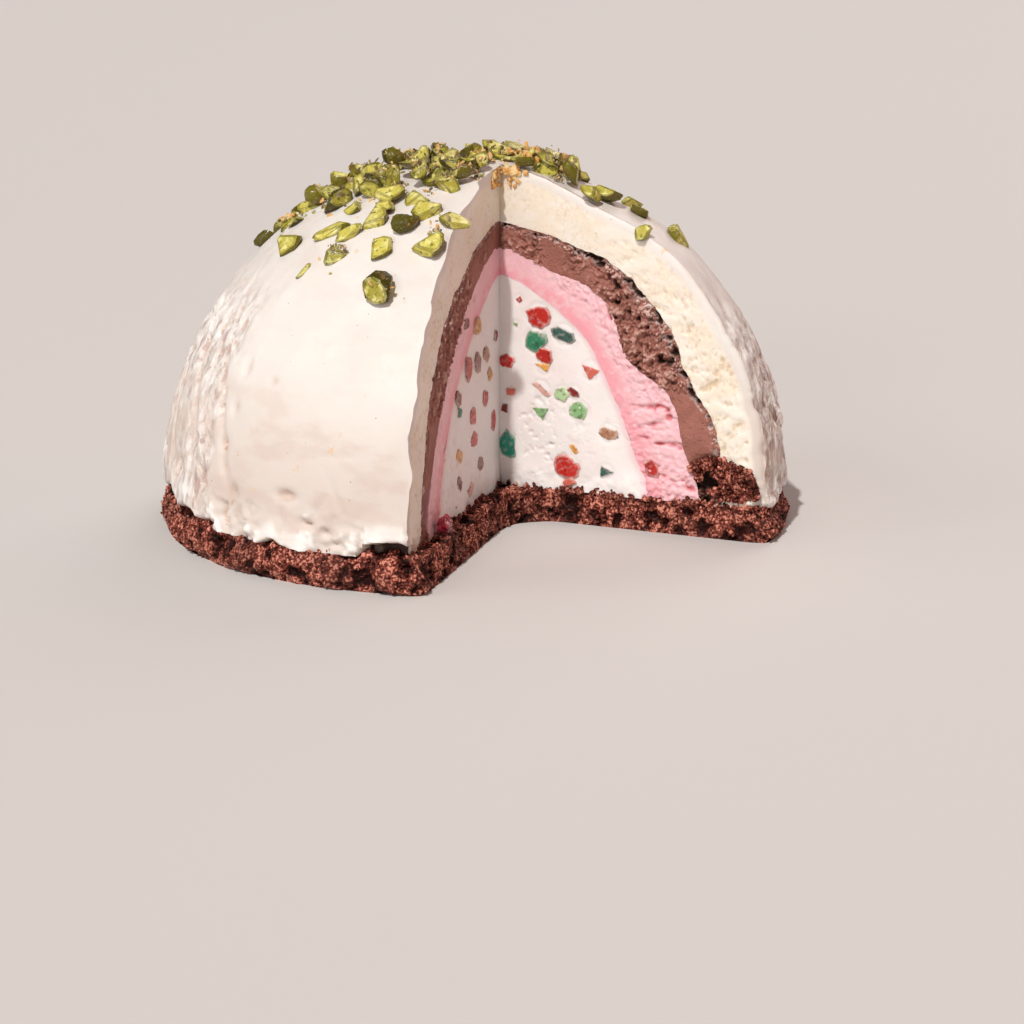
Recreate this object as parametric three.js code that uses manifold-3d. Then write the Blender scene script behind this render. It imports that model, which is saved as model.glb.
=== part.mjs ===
// Cassata ice cream bombe: a dome of nested ice cream layers on a round chocolate sponge,
// with chopped pistachios on top and one wedge already cut out, so that every layer shows.
//
// Millimetres, +Z up. The origin lies on the flat underside of the sponge, on the axis of
// the dome. The wedge opens towards the front right (-Y, +X).

import * as THREE from "three";
import { mergeVertices } from "three/addons/utils/BufferGeometryUtils.js";
import Module from "manifold-3d";

const wasm = await Module();
wasm.setup();

// ---- Driving dimensions -------------------------------------------------------------

const DOME_RADIUS = 110; // the bowl that the bombe was moulded in is 22 cm across
const DOME_CENTRE_Z = 17; // centre of that bowl's sphere, a little above the sponge
const LAYER_GAP = 0.3; // clearance between two neighbouring layers

const SPONGE = {
  thickness: 12,
  radius: 112,
  roughness: 2.4, // how far its torn rim goes in and out
  ledge: 6, // how far it sticks out past the left cut face
  cornerFill: 13, // how far it fills the corner where the two cuts meet
  rim: [[-1, 0], [1, 0.3], [0, 0.6], [-3, 1]], // [out past the radius, share of the thickness]
  raggedGrain: 9, // size of the rim's torn bites
  bowGrain: 30, // size of its wide bows in and out, which are half as deep
  roundSteps: 84,
};

const LAYER_FLOOR = SPONGE.thickness + LAYER_GAP; // height at which the ice cream starts

// Each layer is bounded by a dome: (r / halfWidth) ^ power + (z / height) ^ power = 1, with z
// from the dome's centre height. Its foot is a circle on the dome's axis. The core sits off
// centre: its foot circle is shifted, and its summit stands where the two cuts meet.
const VANILLA = { halfWidth: 110, height: 110, power: 2, rough: 0.8, grain: 34 };
const CHOCOLATE = { halfWidth: 94, height: 90, power: 2, rough: 1.3, grain: 22 };
const STRAWBERRY = { halfWidth: 86, height: 82, power: 1.6, rough: 1.2, grain: 24 };
const FRUIT_CORE = { halfWidth: 69, height: 71, power: 1.6, rough: 1.2, grain: 26 };
const CORE_FOOT_CENTRE = new THREE.Vector2(-8.3, -3.9);

// Steps round and up each dome's facets.
Object.assign(VANILLA, { roundSteps: 48, upSteps: 15, seed: 11 });
Object.assign(CHOCOLATE, { roundSteps: 38, upSteps: 11, seed: 23 });
Object.assign(STRAWBERRY, { roundSteps: 34, upSteps: 10, seed: 37 });
Object.assign(FRUIT_CORE, { roundSteps: 30, upSteps: 9, seed: 41 });

// The wedge: two upright cuts that meet just beside the axis.
const WEDGE = {
  corner: new THREE.Vector2(9, -2),
  rightAzimuth: -24, // directions in which the two cut faces run outwards, in degrees
  leftAzimuth: -105.8,
  reach: 190, // length of the cutter along each face, past the sponge's rim
  facet: 10, // size of the facets that give the cut faces their relief
  grain: 8, // size of the bumps on them
};

// Relief of each layer's cut faces: crumbly chocolate and sponge, smooth vanilla and core.
const CUT_RELIEF = { vanilla: 0.45, chocolate: 1.0, strawberry: 0.6, core: 0.35, sponge: 1.3 };

// Which unevenness each surface has, and which draw places the small pieces.
const SEEDS = {
  vanillaCut: 1,
  chocolateCut: 2,
  strawberryCut: 3,
  coreCut: 4,
  spongeCut: 5,
  raggedRim: 71,
  bowedRim: 72,
  lump: 83,
  nuts: 2024,
  fruit: 77,
};

// A lump's surface: how far it goes in and out, and its grain, as shares of the half size.
const LUMP = { roughness: 0.16, grain: 0.45 };

// Moist sponge that the knife dragged up at the outer end of the right cut face.
const DRAGGED_LUMP = { halfSize: [13, 4.5, 8], run: 89, proud: 0.5, centreZ: 17 };

// Candied cherry that lies on the sponge's ledge, `run` along the left cut face.
const CHERRY = { halfSize: [3.6, 2.6, 3.6], run: 78 };

const PISTACHIO = {
  length: [7.5, 11.5],
  width: [5.4, 7.6],
  thickness: [4, 5.6],
  edgeMargin: 2.2, // distance kept from the cut faces
};

// Where the pistachios lie: between two angles from the dome's top, in degrees, so far apart
// and so far above the dome. The crown is a second layer on the middle of the heap.
const NUT_BANDS = {
  heap: { count: 60, fromPolar: 0, toPolar: 23, spacing: 7.4, rise: 1.2 },
  crown: { count: 13, fromPolar: 0, toPolar: 15, spacing: 9, rise: 4.8 },
  scatter: { count: 30, fromPolar: 23, toPolar: 46, spacing: 11, rise: 1 },
};

const CHUNK_REACH = [0.7, 1.1]; // how far each corner of a chopped piece reaches, as a share
const TRIES_EACH = 150; // draws allowed for the place of one piece

const CANDIED_FRUIT = {
  size: [5.5, 9], // dice of candied peel and cherry that show at the cut faces
  heightShare: 0.8, // their height as a share of their width
  thickness: 4,
  count: 13, // on each face
  proud: 0.7, // how far they stand out of the core's cut face
  spacing: 11,
  clearOfCorner: 5,
  clearOfSponge: 8,
  depthShare: 0.8, // they lie inside this share of the core's own outline
};

// ---- Helpers ------------------------------------------------------------------------

const { degToRad, lerp, smoothstep } = THREE.MathUtils;

/** A repeatable stream of numbers between 0 and 1. */
function randomStream(seed) {
  let state = seed >>> 0;
  return () => {
    state = (Math.imul(state, 1664525) + 1013904223) >>> 0;
    return state / 4294967296;
  };
}

/** A fixed number from -1 to 1 for one corner of the noise lattice. */
function latticeValue(ix, iy, iz, seed) {
  let hash = Math.imul(ix, 374761393) ^ Math.imul(iy, 668265263) ^ Math.imul(iz, 2147483647 - seed);
  hash = Math.imul(hash ^ (hash >>> 13), 1274126177) + Math.imul(seed, 40503);
  return ((hash ^ (hash >>> 16)) & 0xffff) / 32767.5 - 1;
}

/** Smooth unevenness from -1 to 1, with lumps about `grain` millimetres across. */
function lumpiness(point, grain, seed) {
  const cell = point.clone().divideScalar(grain);
  const low = cell.clone().floor();
  const share = cell.sub(low);
  const ease = [share.x, share.y, share.z].map((part) => smoothstep(part, 0, 1));
  let value = 0;
  for (let corner = 0; corner < 8; corner += 1) {
    const step = [corner & 1, (corner >> 1) & 1, corner >> 2];
    const weight = step.reduce((product, up, i) => product * (up ? ease[i] : 1 - ease[i]), 1);
    value += weight * latticeValue(low.x + step[0], low.y + step[1], low.z + step[2], seed);
  }
  return value;
}

/** The geometry with its doubled vertices merged, and only positions left. */
function welded(geometry) {
  const bare = geometry.clone();
  bare.deleteAttribute("normal");
  bare.deleteAttribute("uv");
  return mergeVertices(bare, 1e-4);
}

/** Moves each vertex by `move(point)`, which changes the point in place. */
function reshape(geometry, move) {
  const position = geometry.attributes.position;
  const point = new THREE.Vector3();
  for (let i = 0; i < position.count; i += 1) {
    move(point.fromBufferAttribute(position, i));
    position.setXYZ(i, point.x, point.y, point.z);
  }
  return geometry;
}

/** The solid of a closed, welded geometry. */
function toSolid(geometry) {
  const corners = geometry.index.array;
  const triVerts = [];
  for (let i = 0; i < corners.length; i += 3) {
    const [a, b, c] = [corners[i], corners[i + 1], corners[i + 2]];
    if (a !== b && b !== c && c !== a) triVerts.push(a, b, c);
  }
  const vertProperties = Float32Array.from(geometry.attributes.position.array);
  return new wasm.Manifold(
    new wasm.Mesh({ numProp: 3, vertProperties, triVerts: Uint32Array.from(triVerts) }),
  );
}

/** The named mesh of a solid's largest body: loose scraps and sealed pockets are left out. */
function toMesh(solid, name, look) {
  const bodies = solid.decompose().sort((a, b) => b.volume() - a.volume());
  const { vertProperties, triVerts } = bodies[0].getMesh();
  const geometry = new THREE.BufferGeometry();
  geometry.setAttribute("position", new THREE.Float32BufferAttribute(vertProperties, 3));
  geometry.setIndex(Array.from(triVerts));
  const mesh = new THREE.Mesh(geometry.toNonIndexed(), new THREE.MeshStandardMaterial(look));
  mesh.geometry.computeVertexNormals();
  mesh.name = name;
  return mesh;
}

/** Unit vector in plan at an azimuth given in degrees. */
function planDirection(azimuth) {
  return new THREE.Vector2(Math.cos(degToRad(azimuth)), Math.sin(degToRad(azimuth)));
}

// Unit vectors that point from each cut face into the open wedge.
const INTO_WEDGE_FROM_RIGHT = planDirection(WEDGE.rightAzimuth - 90);
const INTO_WEDGE_FROM_LEFT = planDirection(WEDGE.leftAzimuth + 90);

/** How far a plan point lies inside the open wedge; negative on the cake. */
function depthInWedge(x, y) {
  const fromCorner = new THREE.Vector2(x, y).sub(WEDGE.corner);
  return Math.min(fromCorner.dot(INTO_WEDGE_FROM_RIGHT), fromCorner.dot(INTO_WEDGE_FROM_LEFT));
}

/** A point on the outside of the dome, raised along the radius. */
function pointOnDome(polar, azimuth, rise = 0) {
  const radius = DOME_RADIUS + rise;
  return new THREE.Vector3(
    radius * Math.sin(degToRad(polar)) * Math.cos(degToRad(azimuth)),
    radius * Math.sin(degToRad(polar)) * Math.sin(degToRad(azimuth)),
    DOME_CENTRE_Z + radius * Math.cos(degToRad(polar)),
  );
}

// ---- Cutting the wedge --------------------------------------------------------------

/** Points along one cut face, from near the corner outwards, one facet apart. */
function alongFace(start, azimuth) {
  const direction = planDirection(azimuth);
  const points = [];
  for (let run = WEDGE.facet; run < DOME_RADIUS + SPONGE.ledge; run += WEDGE.facet) {
    points.push(start.clone().addScaledVector(direction, run));
  }
  points.push(start.clone().addScaledVector(direction, WEDGE.reach));
  return points;
}

/** The upright prism over a plan outline, with uneven faces, from below to above the cake. */
function prism(outline, relief, seed) {
  const bottom = -SPONGE.thickness;
  const height = DOME_RADIUS + DOME_CENTRE_Z + 4 * SPONGE.thickness;
  const geometry = welded(
    new THREE.ExtrudeGeometry(new THREE.Shape(outline), {
      depth: height,
      steps: Math.round(height / WEDGE.facet),
      bevelEnabled: false,
    }),
  );
  geometry.translate(0, 0, bottom);
  const sideways = INTO_WEDGE_FROM_RIGHT.clone().add(INTO_WEDGE_FROM_LEFT).normalize();
  return toSolid(
    reshape(geometry, (point) => {
      const shift = relief * lumpiness(point, WEDGE.grain, seed);
      point.x += sideways.x * shift;
      point.y += sideways.y * shift;
    }),
  );
}

/** The cutter that takes the wedge out of a layer, with the relief that its knife cut has. */
function wedgeCutter(relief, seed) {
  const right = alongFace(WEDGE.corner, WEDGE.rightAzimuth);
  const left = alongFace(WEDGE.corner, WEDGE.leftAzimuth);
  return prism([WEDGE.corner, ...left, ...right.reverse()], relief, seed);
}

/** The sponge's own cutter: it leaves a ledge at the left and fills the corner. */
function spongeCutter() {
  const { ledge, cornerFill } = SPONGE;
  const ledgeStart = WEDGE.corner.clone().addScaledVector(INTO_WEDGE_FROM_LEFT, ledge);
  const left = alongFace(ledgeStart, WEDGE.leftAzimuth).slice(1);
  const right = alongFace(WEDGE.corner, WEDGE.rightAzimuth).slice(1);
  const corner = WEDGE.corner
    .clone()
    .addScaledVector(planDirection((WEDGE.leftAzimuth + WEDGE.rightAzimuth) / 2), cornerFill);
  return prism([corner, ...left, ...right.reverse()], CUT_RELIEF.sponge, SEEDS.spongeCut);
}

// ---- Layers -------------------------------------------------------------------------

/** How far the core's foot circle is from its summit in one direction, against its half width. */
function coreStretch(direction, halfWidth) {
  const toSummit = WEDGE.corner.clone().sub(CORE_FOOT_CENTRE);
  const along = toSummit.dot(direction);
  return (Math.sqrt(along ** 2 - toSummit.lengthSq() + halfWidth ** 2) - along) / halfWidth;
}

/** The solid inside one dome surface, grown by `grow`, down to the sponge or `below` it. */
function domeSolid(layer, grow = 0, below = 0) {
  const halfWidth = layer.halfWidth + grow;
  const height = layer.height + grow;
  const profile = [new THREE.Vector2(0, LAYER_FLOOR - below)];
  if (below > 0) profile.push(new THREE.Vector2(halfWidth, LAYER_FLOOR - below));
  profile.push(new THREE.Vector2(halfWidth, LAYER_FLOOR));
  for (let step = 0; step <= layer.upSteps; step += 1) {
    const angle = (step / layer.upSteps) * (Math.PI / 2);
    const r = step === layer.upSteps ? 0 : halfWidth * Math.cos(angle) ** (2 / layer.power);
    profile.push(new THREE.Vector2(r, DOME_CENTRE_Z + height * Math.sin(angle) ** (2 / layer.power)));
  }
  const geometry = welded(new THREE.LatheGeometry(profile, layer.roundSteps).rotateX(Math.PI / 2));
  return toSolid(
    reshape(geometry, (point) => {
      const atFloor = point.z < LAYER_FLOOR + 0.01;
      const outwards = new THREE.Vector3(point.x, point.y, atFloor ? 0 : point.z - DOME_CENTRE_Z);
      if (outwards.length() > 0.01) {
        const sample = point.clone().addScaledVector(outwards.normalize(), -grow);
        sample.z = Math.max(sample.z, LAYER_FLOOR);
        point.addScaledVector(outwards, layer.rough * lumpiness(sample, layer.grain, layer.seed));
      }
      if (layer !== FRUIT_CORE) return;
      const plan = new THREE.Vector2(point.x, point.y);
      plan.multiplyScalar(coreStretch(plan.clone().normalize(), halfWidth)).add(WEDGE.corner);
      point.set(plan.x, plan.y, point.z);
    }),
  );
}

/** One layer between its own dome and the next one inside, with the wedge cut out. */
function layerSolid(outer, inner, relief, seed) {
  let solid = domeSolid(outer);
  if (inner) solid = solid.subtract(domeSolid(inner, LAYER_GAP, SPONGE.thickness));
  return solid.subtract(wedgeCutter(relief, seed));
}

// ---- Sponge -------------------------------------------------------------------------

/** The round sponge with its torn, crumbly rim and the wedge cut out. */
function spongeSolid() {
  const { thickness, radius, roughness, rim, raggedGrain, bowGrain, roundSteps } = SPONGE;
  const edge = rim.map(([out, share]) => new THREE.Vector2(radius + out, share * thickness));
  const profile = [new THREE.Vector2(0, 0), ...edge, new THREE.Vector2(0, thickness)];
  const disc = welded(new THREE.LatheGeometry(profile, roundSteps).rotateX(Math.PI / 2));
  reshape(disc, (point) => {
    const reach = Math.hypot(point.x, point.y);
    if (reach < radius / 2) return;
    const ragged = roughness * lumpiness(point, raggedGrain, SEEDS.raggedRim);
    const bowed = 0.5 * roughness * lumpiness(point, bowGrain, SEEDS.bowedRim);
    point.x *= 1 + (ragged + bowed) / reach;
    point.y *= 1 + (ragged + bowed) / reach;
  });
  return toSolid(disc).subtract(spongeCutter());
}

/** An uneven lump, stretched along a direction in plan, with `detail` splits of its facets. */
function lumpSolid(centre, halfSize, azimuth, detail, grow = 0) {
  const ball = welded(new THREE.IcosahedronGeometry(1, detail));
  reshape(ball, (point) => {
    point.multiplyScalar(1 + LUMP.roughness * lumpiness(point, LUMP.grain, SEEDS.lump));
    point.set(
      point.x * (halfSize[0] + grow),
      point.y * (halfSize[1] + grow),
      point.z * (halfSize[2] + grow),
    );
  });
  ball.rotateZ(degToRad(azimuth));
  ball.translate(centre.x, centre.y, centre.z);
  return toSolid(ball);
}

/** The dragged lump, grown by `grow` where it is cut out of its neighbours. */
function draggedLump(grow = 0) {
  const place = WEDGE.corner
    .clone()
    .addScaledVector(planDirection(WEDGE.rightAzimuth), DRAGGED_LUMP.run)
    .addScaledVector(INTO_WEDGE_FROM_RIGHT, DRAGGED_LUMP.proud);
  const centre = new THREE.Vector3(place.x, place.y, DRAGGED_LUMP.centreZ);
  return lumpSolid(centre, DRAGGED_LUMP.halfSize, WEDGE.rightAzimuth, 2, grow);
}

// ---- Small pieces -------------------------------------------------------------------

/** A chopped nut or a candied die: a block whose eight corners are all cut differently. */
function chunk(size, random) {
  const block = welded(new THREE.BoxGeometry(1, 1, 1));
  reshape(block, (point) => {
    const cornerReach = () => lerp(...CHUNK_REACH, random());
    point.set(
      point.x * size[0] * cornerReach(),
      point.y * size[1] * cornerReach(),
      point.z * size[2] * cornerReach(),
    );
  });
  return block;
}

/** Places for the nuts of one band, on the cake and clear of the cut faces. */
function nutPlaces({ count, fromPolar, toPolar, spacing, rise }, random) {
  const placed = [];
  for (let tries = 0; placed.length < count && tries < TRIES_EACH * count; tries += 1) {
    const cosine = lerp(Math.cos(degToRad(fromPolar)), Math.cos(degToRad(toPolar)), random());
    const polar = Math.acos(cosine) * THREE.MathUtils.RAD2DEG;
    const place = pointOnDome(polar, 360 * random(), rise);
    const onCake = depthInWedge(place.x, place.y) < -PISTACHIO.edgeMargin;
    if (onCake && placed.every((other) => other.distanceTo(place) > spacing)) placed.push(place);
  }
  return placed;
}

/** One chopped nut, lying on the dome's slope at a place. */
function nutAt(place, random) {
  const up = new THREE.Vector3(0, 0, 1);
  const size = [PISTACHIO.length, PISTACHIO.width, PISTACHIO.thickness];
  const nut = chunk(size.map(([low, high]) => lerp(low, high, random())), random);
  const outwards = place.clone().sub(new THREE.Vector3(0, 0, DOME_CENTRE_Z)).normalize();
  const turn = new THREE.Quaternion().setFromUnitVectors(up, outwards);
  turn.multiply(new THREE.Quaternion().setFromAxisAngle(up, 2 * Math.PI * random()));
  nut.applyQuaternion(turn);
  nut.translate(place.x, place.y, place.z);
  return toSolid(nut);
}

/** The pistachios: a heap on top, a second layer on its middle, and single pieces round it. */
function pistachios() {
  const random = randomStream(SEEDS.nuts);
  const pieces = Object.values(NUT_BANDS).flatMap((band) =>
    nutPlaces(band, random).map((place) => nutAt(place, random)),
  );
  return wasm.Manifold.union(pieces);
}

/** Whether a point at height z, `run` from the corner along a cut face, is well inside the core. */
function insideCore(run, direction, z) {
  const { halfWidth, height, power } = FRUIT_CORE;
  const across = run / (halfWidth * coreStretch(direction, halfWidth));
  return across ** power + ((z - DOME_CENTRE_Z) / height) ** power < CANDIED_FRUIT.depthShare;
}

/** The candied pieces that show at one cut face, standing a little proud of it. */
function fruitOnFace(azimuth, intoWedge, random) {
  const { size, heightShare, thickness, count, proud, spacing, clearOfCorner, clearOfSponge } =
    CANDIED_FRUIT;
  const direction = planDirection(azimuth);
  const places = [];
  for (let tries = 0; places.length < count && tries < TRIES_EACH * count; tries += 1) {
    const run = lerp(clearOfCorner, FRUIT_CORE.halfWidth, random());
    const z = lerp(SPONGE.thickness + clearOfSponge, DOME_CENTRE_Z + FRUIT_CORE.height, random());
    const plan = WEDGE.corner.clone().addScaledVector(direction, run);
    const place = new THREE.Vector3(plan.x, plan.y, z);
    const apart = places.every((other) => other.distanceTo(place) > spacing);
    if (apart && insideCore(run, direction, z)) places.push(place);
  }
  return places.map((place) => {
    const width = lerp(...size, random());
    const die = chunk([width, thickness, heightShare * width], random);
    die.rotateZ(degToRad(azimuth));
    const back = proud - thickness / 2;
    die.translate(place.x + intoWedge.x * back, place.y + intoWedge.y * back, place.z);
    return toSolid(die);
  });
}

// ---- The cake -----------------------------------------------------------------------

const LOOKS = {
  sponge: { color: 0x3a1d16, roughness: 0.9, metalness: 0 },
  vanilla: { color: 0xf3ead8, roughness: 0.55, metalness: 0 },
  chocolate: { color: 0x6b4034, roughness: 0.75, metalness: 0 },
  strawberry: { color: 0xe79cab, roughness: 0.6, metalness: 0 },
  core: { color: 0xf6f1ea, roughness: 0.55, metalness: 0 },
  cherry: { color: 0x9c1220, roughness: 0.3, metalness: 0 },
};

/** The vanilla shell with its pistachios. */
function vanillaShell() {
  const shell = layerSolid(VANILLA, CHOCOLATE, CUT_RELIEF.vanilla, SEEDS.vanillaCut);
  return shell.subtract(draggedLump(LAYER_GAP)).add(pistachios());
}

/** The chocolate layer, cut away round the dragged lump. */
function chocolateLayer() {
  const layer = layerSolid(CHOCOLATE, STRAWBERRY, CUT_RELIEF.chocolate, SEEDS.chocolateCut);
  return layer.subtract(draggedLump(LAYER_GAP));
}

/** The strawberry layer, cut away round the dragged lump. */
function strawberryLayer() {
  const layer = layerSolid(STRAWBERRY, FRUIT_CORE, CUT_RELIEF.strawberry, SEEDS.strawberryCut);
  return layer.subtract(draggedLump(LAYER_GAP));
}

/** The white core with the candied fruit that its cut faces show. */
function fruitCore() {
  const random = randomStream(SEEDS.fruit);
  const dice = [
    ...fruitOnFace(WEDGE.rightAzimuth, INTO_WEDGE_FROM_RIGHT, random),
    ...fruitOnFace(WEDGE.leftAzimuth, INTO_WEDGE_FROM_LEFT, random),
  ];
  const core = layerSolid(FRUIT_CORE, null, CUT_RELIEF.core, SEEDS.coreCut);
  return core.add(wasm.Manifold.union(dice));
}

/** The candied cherry piece, just clear of the sponge and of the cut face behind it. */
function cherryPiece() {
  const { run, halfSize } = CHERRY;
  const place = WEDGE.corner
    .clone()
    .addScaledVector(planDirection(WEDGE.leftAzimuth), run)
    .addScaledVector(INTO_WEDGE_FROM_LEFT, halfSize[1] + CUT_RELIEF.strawberry + 2 * LAYER_GAP);
  const bottom = LAYER_FLOOR + LUMP.roughness * halfSize[2];
  const centre = new THREE.Vector3(place.x, place.y, bottom + halfSize[2]);
  return lumpSolid(centre, halfSize, WEDGE.leftAzimuth, 1);
}

const cassata = new THREE.Group();
cassata.add(
  toMesh(spongeSolid().add(draggedLump()), "sponge_base", LOOKS.sponge),
  toMesh(vanillaShell(), "vanilla_shell", LOOKS.vanilla),
  toMesh(chocolateLayer(), "chocolate_layer", LOOKS.chocolate),
  toMesh(strawberryLayer(), "strawberry_layer", LOOKS.strawberry),
  toMesh(fruitCore(), "fruit_core", LOOKS.core),
  toMesh(cherryPiece(), "cherry_piece", LOOKS.cherry),
);

export default cassata;
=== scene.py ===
"""Cassata ice cream bombe: nested ice cream layers on a chocolate sponge, with one wedge cut out.

Each layer is swept round the corner where the two knife cuts meet, so that its cut faces
carry a fine mesh with the relief of that ice cream. Lengths are worked out in millimetres
and turned into metres when a mesh is made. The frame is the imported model's own.
"""

import logging
import math
from dataclasses import dataclass, field
from enum import Enum
from typing import Callable, Union

import bmesh
import bpy
import numpy as np
from mathutils import Matrix, Quaternion, Vector
from mathutils.geometry import delaunay_2d_cdt


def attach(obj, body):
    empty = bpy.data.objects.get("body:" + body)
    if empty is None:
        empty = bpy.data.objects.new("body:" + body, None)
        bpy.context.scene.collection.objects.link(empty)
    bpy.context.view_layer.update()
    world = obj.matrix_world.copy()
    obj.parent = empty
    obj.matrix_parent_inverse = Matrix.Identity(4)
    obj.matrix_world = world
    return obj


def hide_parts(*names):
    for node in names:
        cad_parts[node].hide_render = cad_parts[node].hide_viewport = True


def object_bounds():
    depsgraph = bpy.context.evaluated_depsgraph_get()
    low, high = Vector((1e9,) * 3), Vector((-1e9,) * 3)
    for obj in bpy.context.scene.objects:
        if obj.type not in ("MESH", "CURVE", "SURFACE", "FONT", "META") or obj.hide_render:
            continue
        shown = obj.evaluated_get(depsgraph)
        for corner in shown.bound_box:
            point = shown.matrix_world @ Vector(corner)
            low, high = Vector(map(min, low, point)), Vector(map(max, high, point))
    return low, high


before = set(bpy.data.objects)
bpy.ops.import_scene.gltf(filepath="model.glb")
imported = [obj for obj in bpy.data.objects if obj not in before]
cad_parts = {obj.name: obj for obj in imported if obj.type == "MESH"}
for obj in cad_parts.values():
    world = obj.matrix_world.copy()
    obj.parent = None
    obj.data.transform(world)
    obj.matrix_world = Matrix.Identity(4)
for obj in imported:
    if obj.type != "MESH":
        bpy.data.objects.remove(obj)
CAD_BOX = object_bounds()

LOG = logging.getLogger("cassata")

MM = 0.001  # one millimetre in metres
BODY = "root"

DOME_CENTRE_Z = 17.0  # centre of the mould's sphere above the plate
SPONGE_TOP = 12.0
FULL_TURN = 360.0
ANY_TURN = 6.28  # radians; the most that a loose piece is turned about each axis
CRUMB_KINDS = 6  # different shapes among the loose crumbs
CRISP_EDGE = 58.0  # degrees between two faces above which their edge is drawn sharp


# ---- Unevenness ----


def _lattice(ix: np.ndarray, iy: np.ndarray, iz: np.ndarray, seed: int) -> np.ndarray:
    """Repeatable numbers from -1 to 1 for whole-number lattice corners.

    Args:
        ix, iy, iz: Lattice coordinates.
        seed: Which pattern.

    Returns:
        One number for each corner.
    """
    mixed = ix * 374761393 + iy * 668265263 + iz * 2147483647 + seed * 974634777
    mixed = (mixed ^ (mixed >> 13)) * 1274126177
    mixed = (mixed ^ (mixed >> 16)) & 0xFFFF
    return mixed.astype(np.float64) / 32767.5 - 1.0


def lumps(points: np.ndarray, grain: float, seed: int) -> np.ndarray:
    """Smooth unevenness from -1 to 1.

    Args:
        points: (N, 3) places in millimetres.
        grain: Size of one lump, in millimetres.
        seed: Which pattern.

    Returns:
        (N,) values.
    """
    cell = points / grain
    low = np.floor(cell).astype(np.int64)
    share = cell - low
    ease = share * share * (3.0 - 2.0 * share)
    value = np.zeros(len(points))
    for corner in range(8):
        step = np.array([corner & 1, (corner >> 1) & 1, corner >> 2])
        weight = np.prod(np.where(step, ease, 1.0 - ease), axis=1)
        at = low + step
        value += weight * _lattice(at[:, 0], at[:, 1], at[:, 2], seed)
    return value


def rough(points: np.ndarray, grain: float, seed: int, octaves: int = 3) -> np.ndarray:
    """Lumps with finer and finer lumps on them, from about -1 to 1.

    Args:
        points: (N, 3) places in millimetres.
        grain: Size of the largest lump.
        seed: Which pattern.
        octaves: How many sizes are added, each half the one before.

    Returns:
        (N,) values.
    """
    total = sum(lumps(points, grain / 2**i, seed + 17 * i) / 2**i for i in range(octaves))
    return total / (2.0 - 2.0 ** (1 - octaves))


def crumb_distance(points: np.ndarray, grain: float, seed: int) -> np.ndarray:
    """Distance to the middle of the nearest crumb, in crumb sizes: 0 inside, about 1 between.

    Args:
        points: (N, 3) places in millimetres.
        grain: Distance between crumbs.
        seed: Which pattern.

    Returns:
        (N,) values.
    """
    cell = points / grain
    low = np.floor(cell).astype(np.int64)
    nearest = np.full(len(points), 9.0)
    for dx in (-1, 0, 1):
        for dy in (-1, 0, 1):
            for dz in (-1, 0, 1):
                at = low + (dx, dy, dz)
                offset = [
                    at[:, axis] + 0.5 + 0.45 * _lattice(at[:, 0], at[:, 1], at[:, 2], seed + 31 * axis)
                    for axis in range(3)
                ]
                gap = np.linalg.norm(cell - np.stack(offset, axis=1), axis=1)
                nearest = np.minimum(nearest, gap)
    return nearest


def warped(points: np.ndarray, reach: float, grain: float, seed: int) -> np.ndarray:
    """Points moved about by up to `reach`, so that a pattern on them loses its regularity."""
    return points + reach * np.column_stack([lumps(points, grain, seed + part) for part in range(3)])


def ramp(value: np.ndarray, start: float, end: float) -> np.ndarray:
    """Eases from 0 at start to 1 at end; start may be above end."""
    share = np.clip((value - start) / (end - start), 0.0, 1.0)
    return share * share * (3.0 - 2.0 * share)


def between(value: np.ndarray, low: float, high: float, soft: float) -> np.ndarray:
    """Is 1 from low to high, and eases to 0 over `soft` outside them."""
    return ramp(value, low - soft, low) * ramp(value, high + soft, high)


# ---- The cut ----


class Side(Enum):
    """The two cut faces, by the side of the wedge that they are on."""

    RIGHT = -24.0  # azimuth in which the face runs outwards, in degrees
    LEFT = -105.8

    @property
    def direction(self) -> np.ndarray:
        """Unit vector along the face, away from the corner."""
        return plan_direction(self.value)

    @property
    def into_wedge(self) -> np.ndarray:
        """Unit vector out of the cake into the open wedge."""
        turn = -90.0 if self is Side.RIGHT else 90.0
        return plan_direction(self.value + turn)


CORNER = np.array([9.0, -2.0])  # plan place of the line where the two cuts meet


def plan_direction(azimuth: float) -> np.ndarray:
    """Unit vector in plan at an azimuth in degrees."""
    return np.array([math.cos(math.radians(azimuth)), math.sin(math.radians(azimuth))])


def on_face(side: Side, run: float, height: float, proud: float = 0.0) -> np.ndarray:
    """A point of a cut face.

    Args:
        side: Which face.
        run: Distance from the corner along the face.
        height: Height above the plate.
        proud: Distance out of the face into the wedge.

    Returns:
        The point, in millimetres.
    """
    plan = CORNER + run * side.direction + proud * side.into_wedge
    return np.array([plan[0], plan[1], height])


def depth_in_wedge(points: np.ndarray) -> np.ndarray:
    """How far points lie inside the open wedge; negative on the cake."""
    from_corner = points[:, :2] - CORNER
    return np.minimum(from_corner @ Side.RIGHT.into_wedge, from_corner @ Side.LEFT.into_wedge)


# ---- Meshes ----


def grid_faces(index: np.ndarray) -> np.ndarray:
    """The quads between neighbouring entries of a 2-D array of vertex numbers."""
    return np.stack([index[:-1, :-1], index[1:, :-1], index[1:, 1:], index[:-1, 1:]], axis=-1).reshape(-1, 4)


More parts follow.
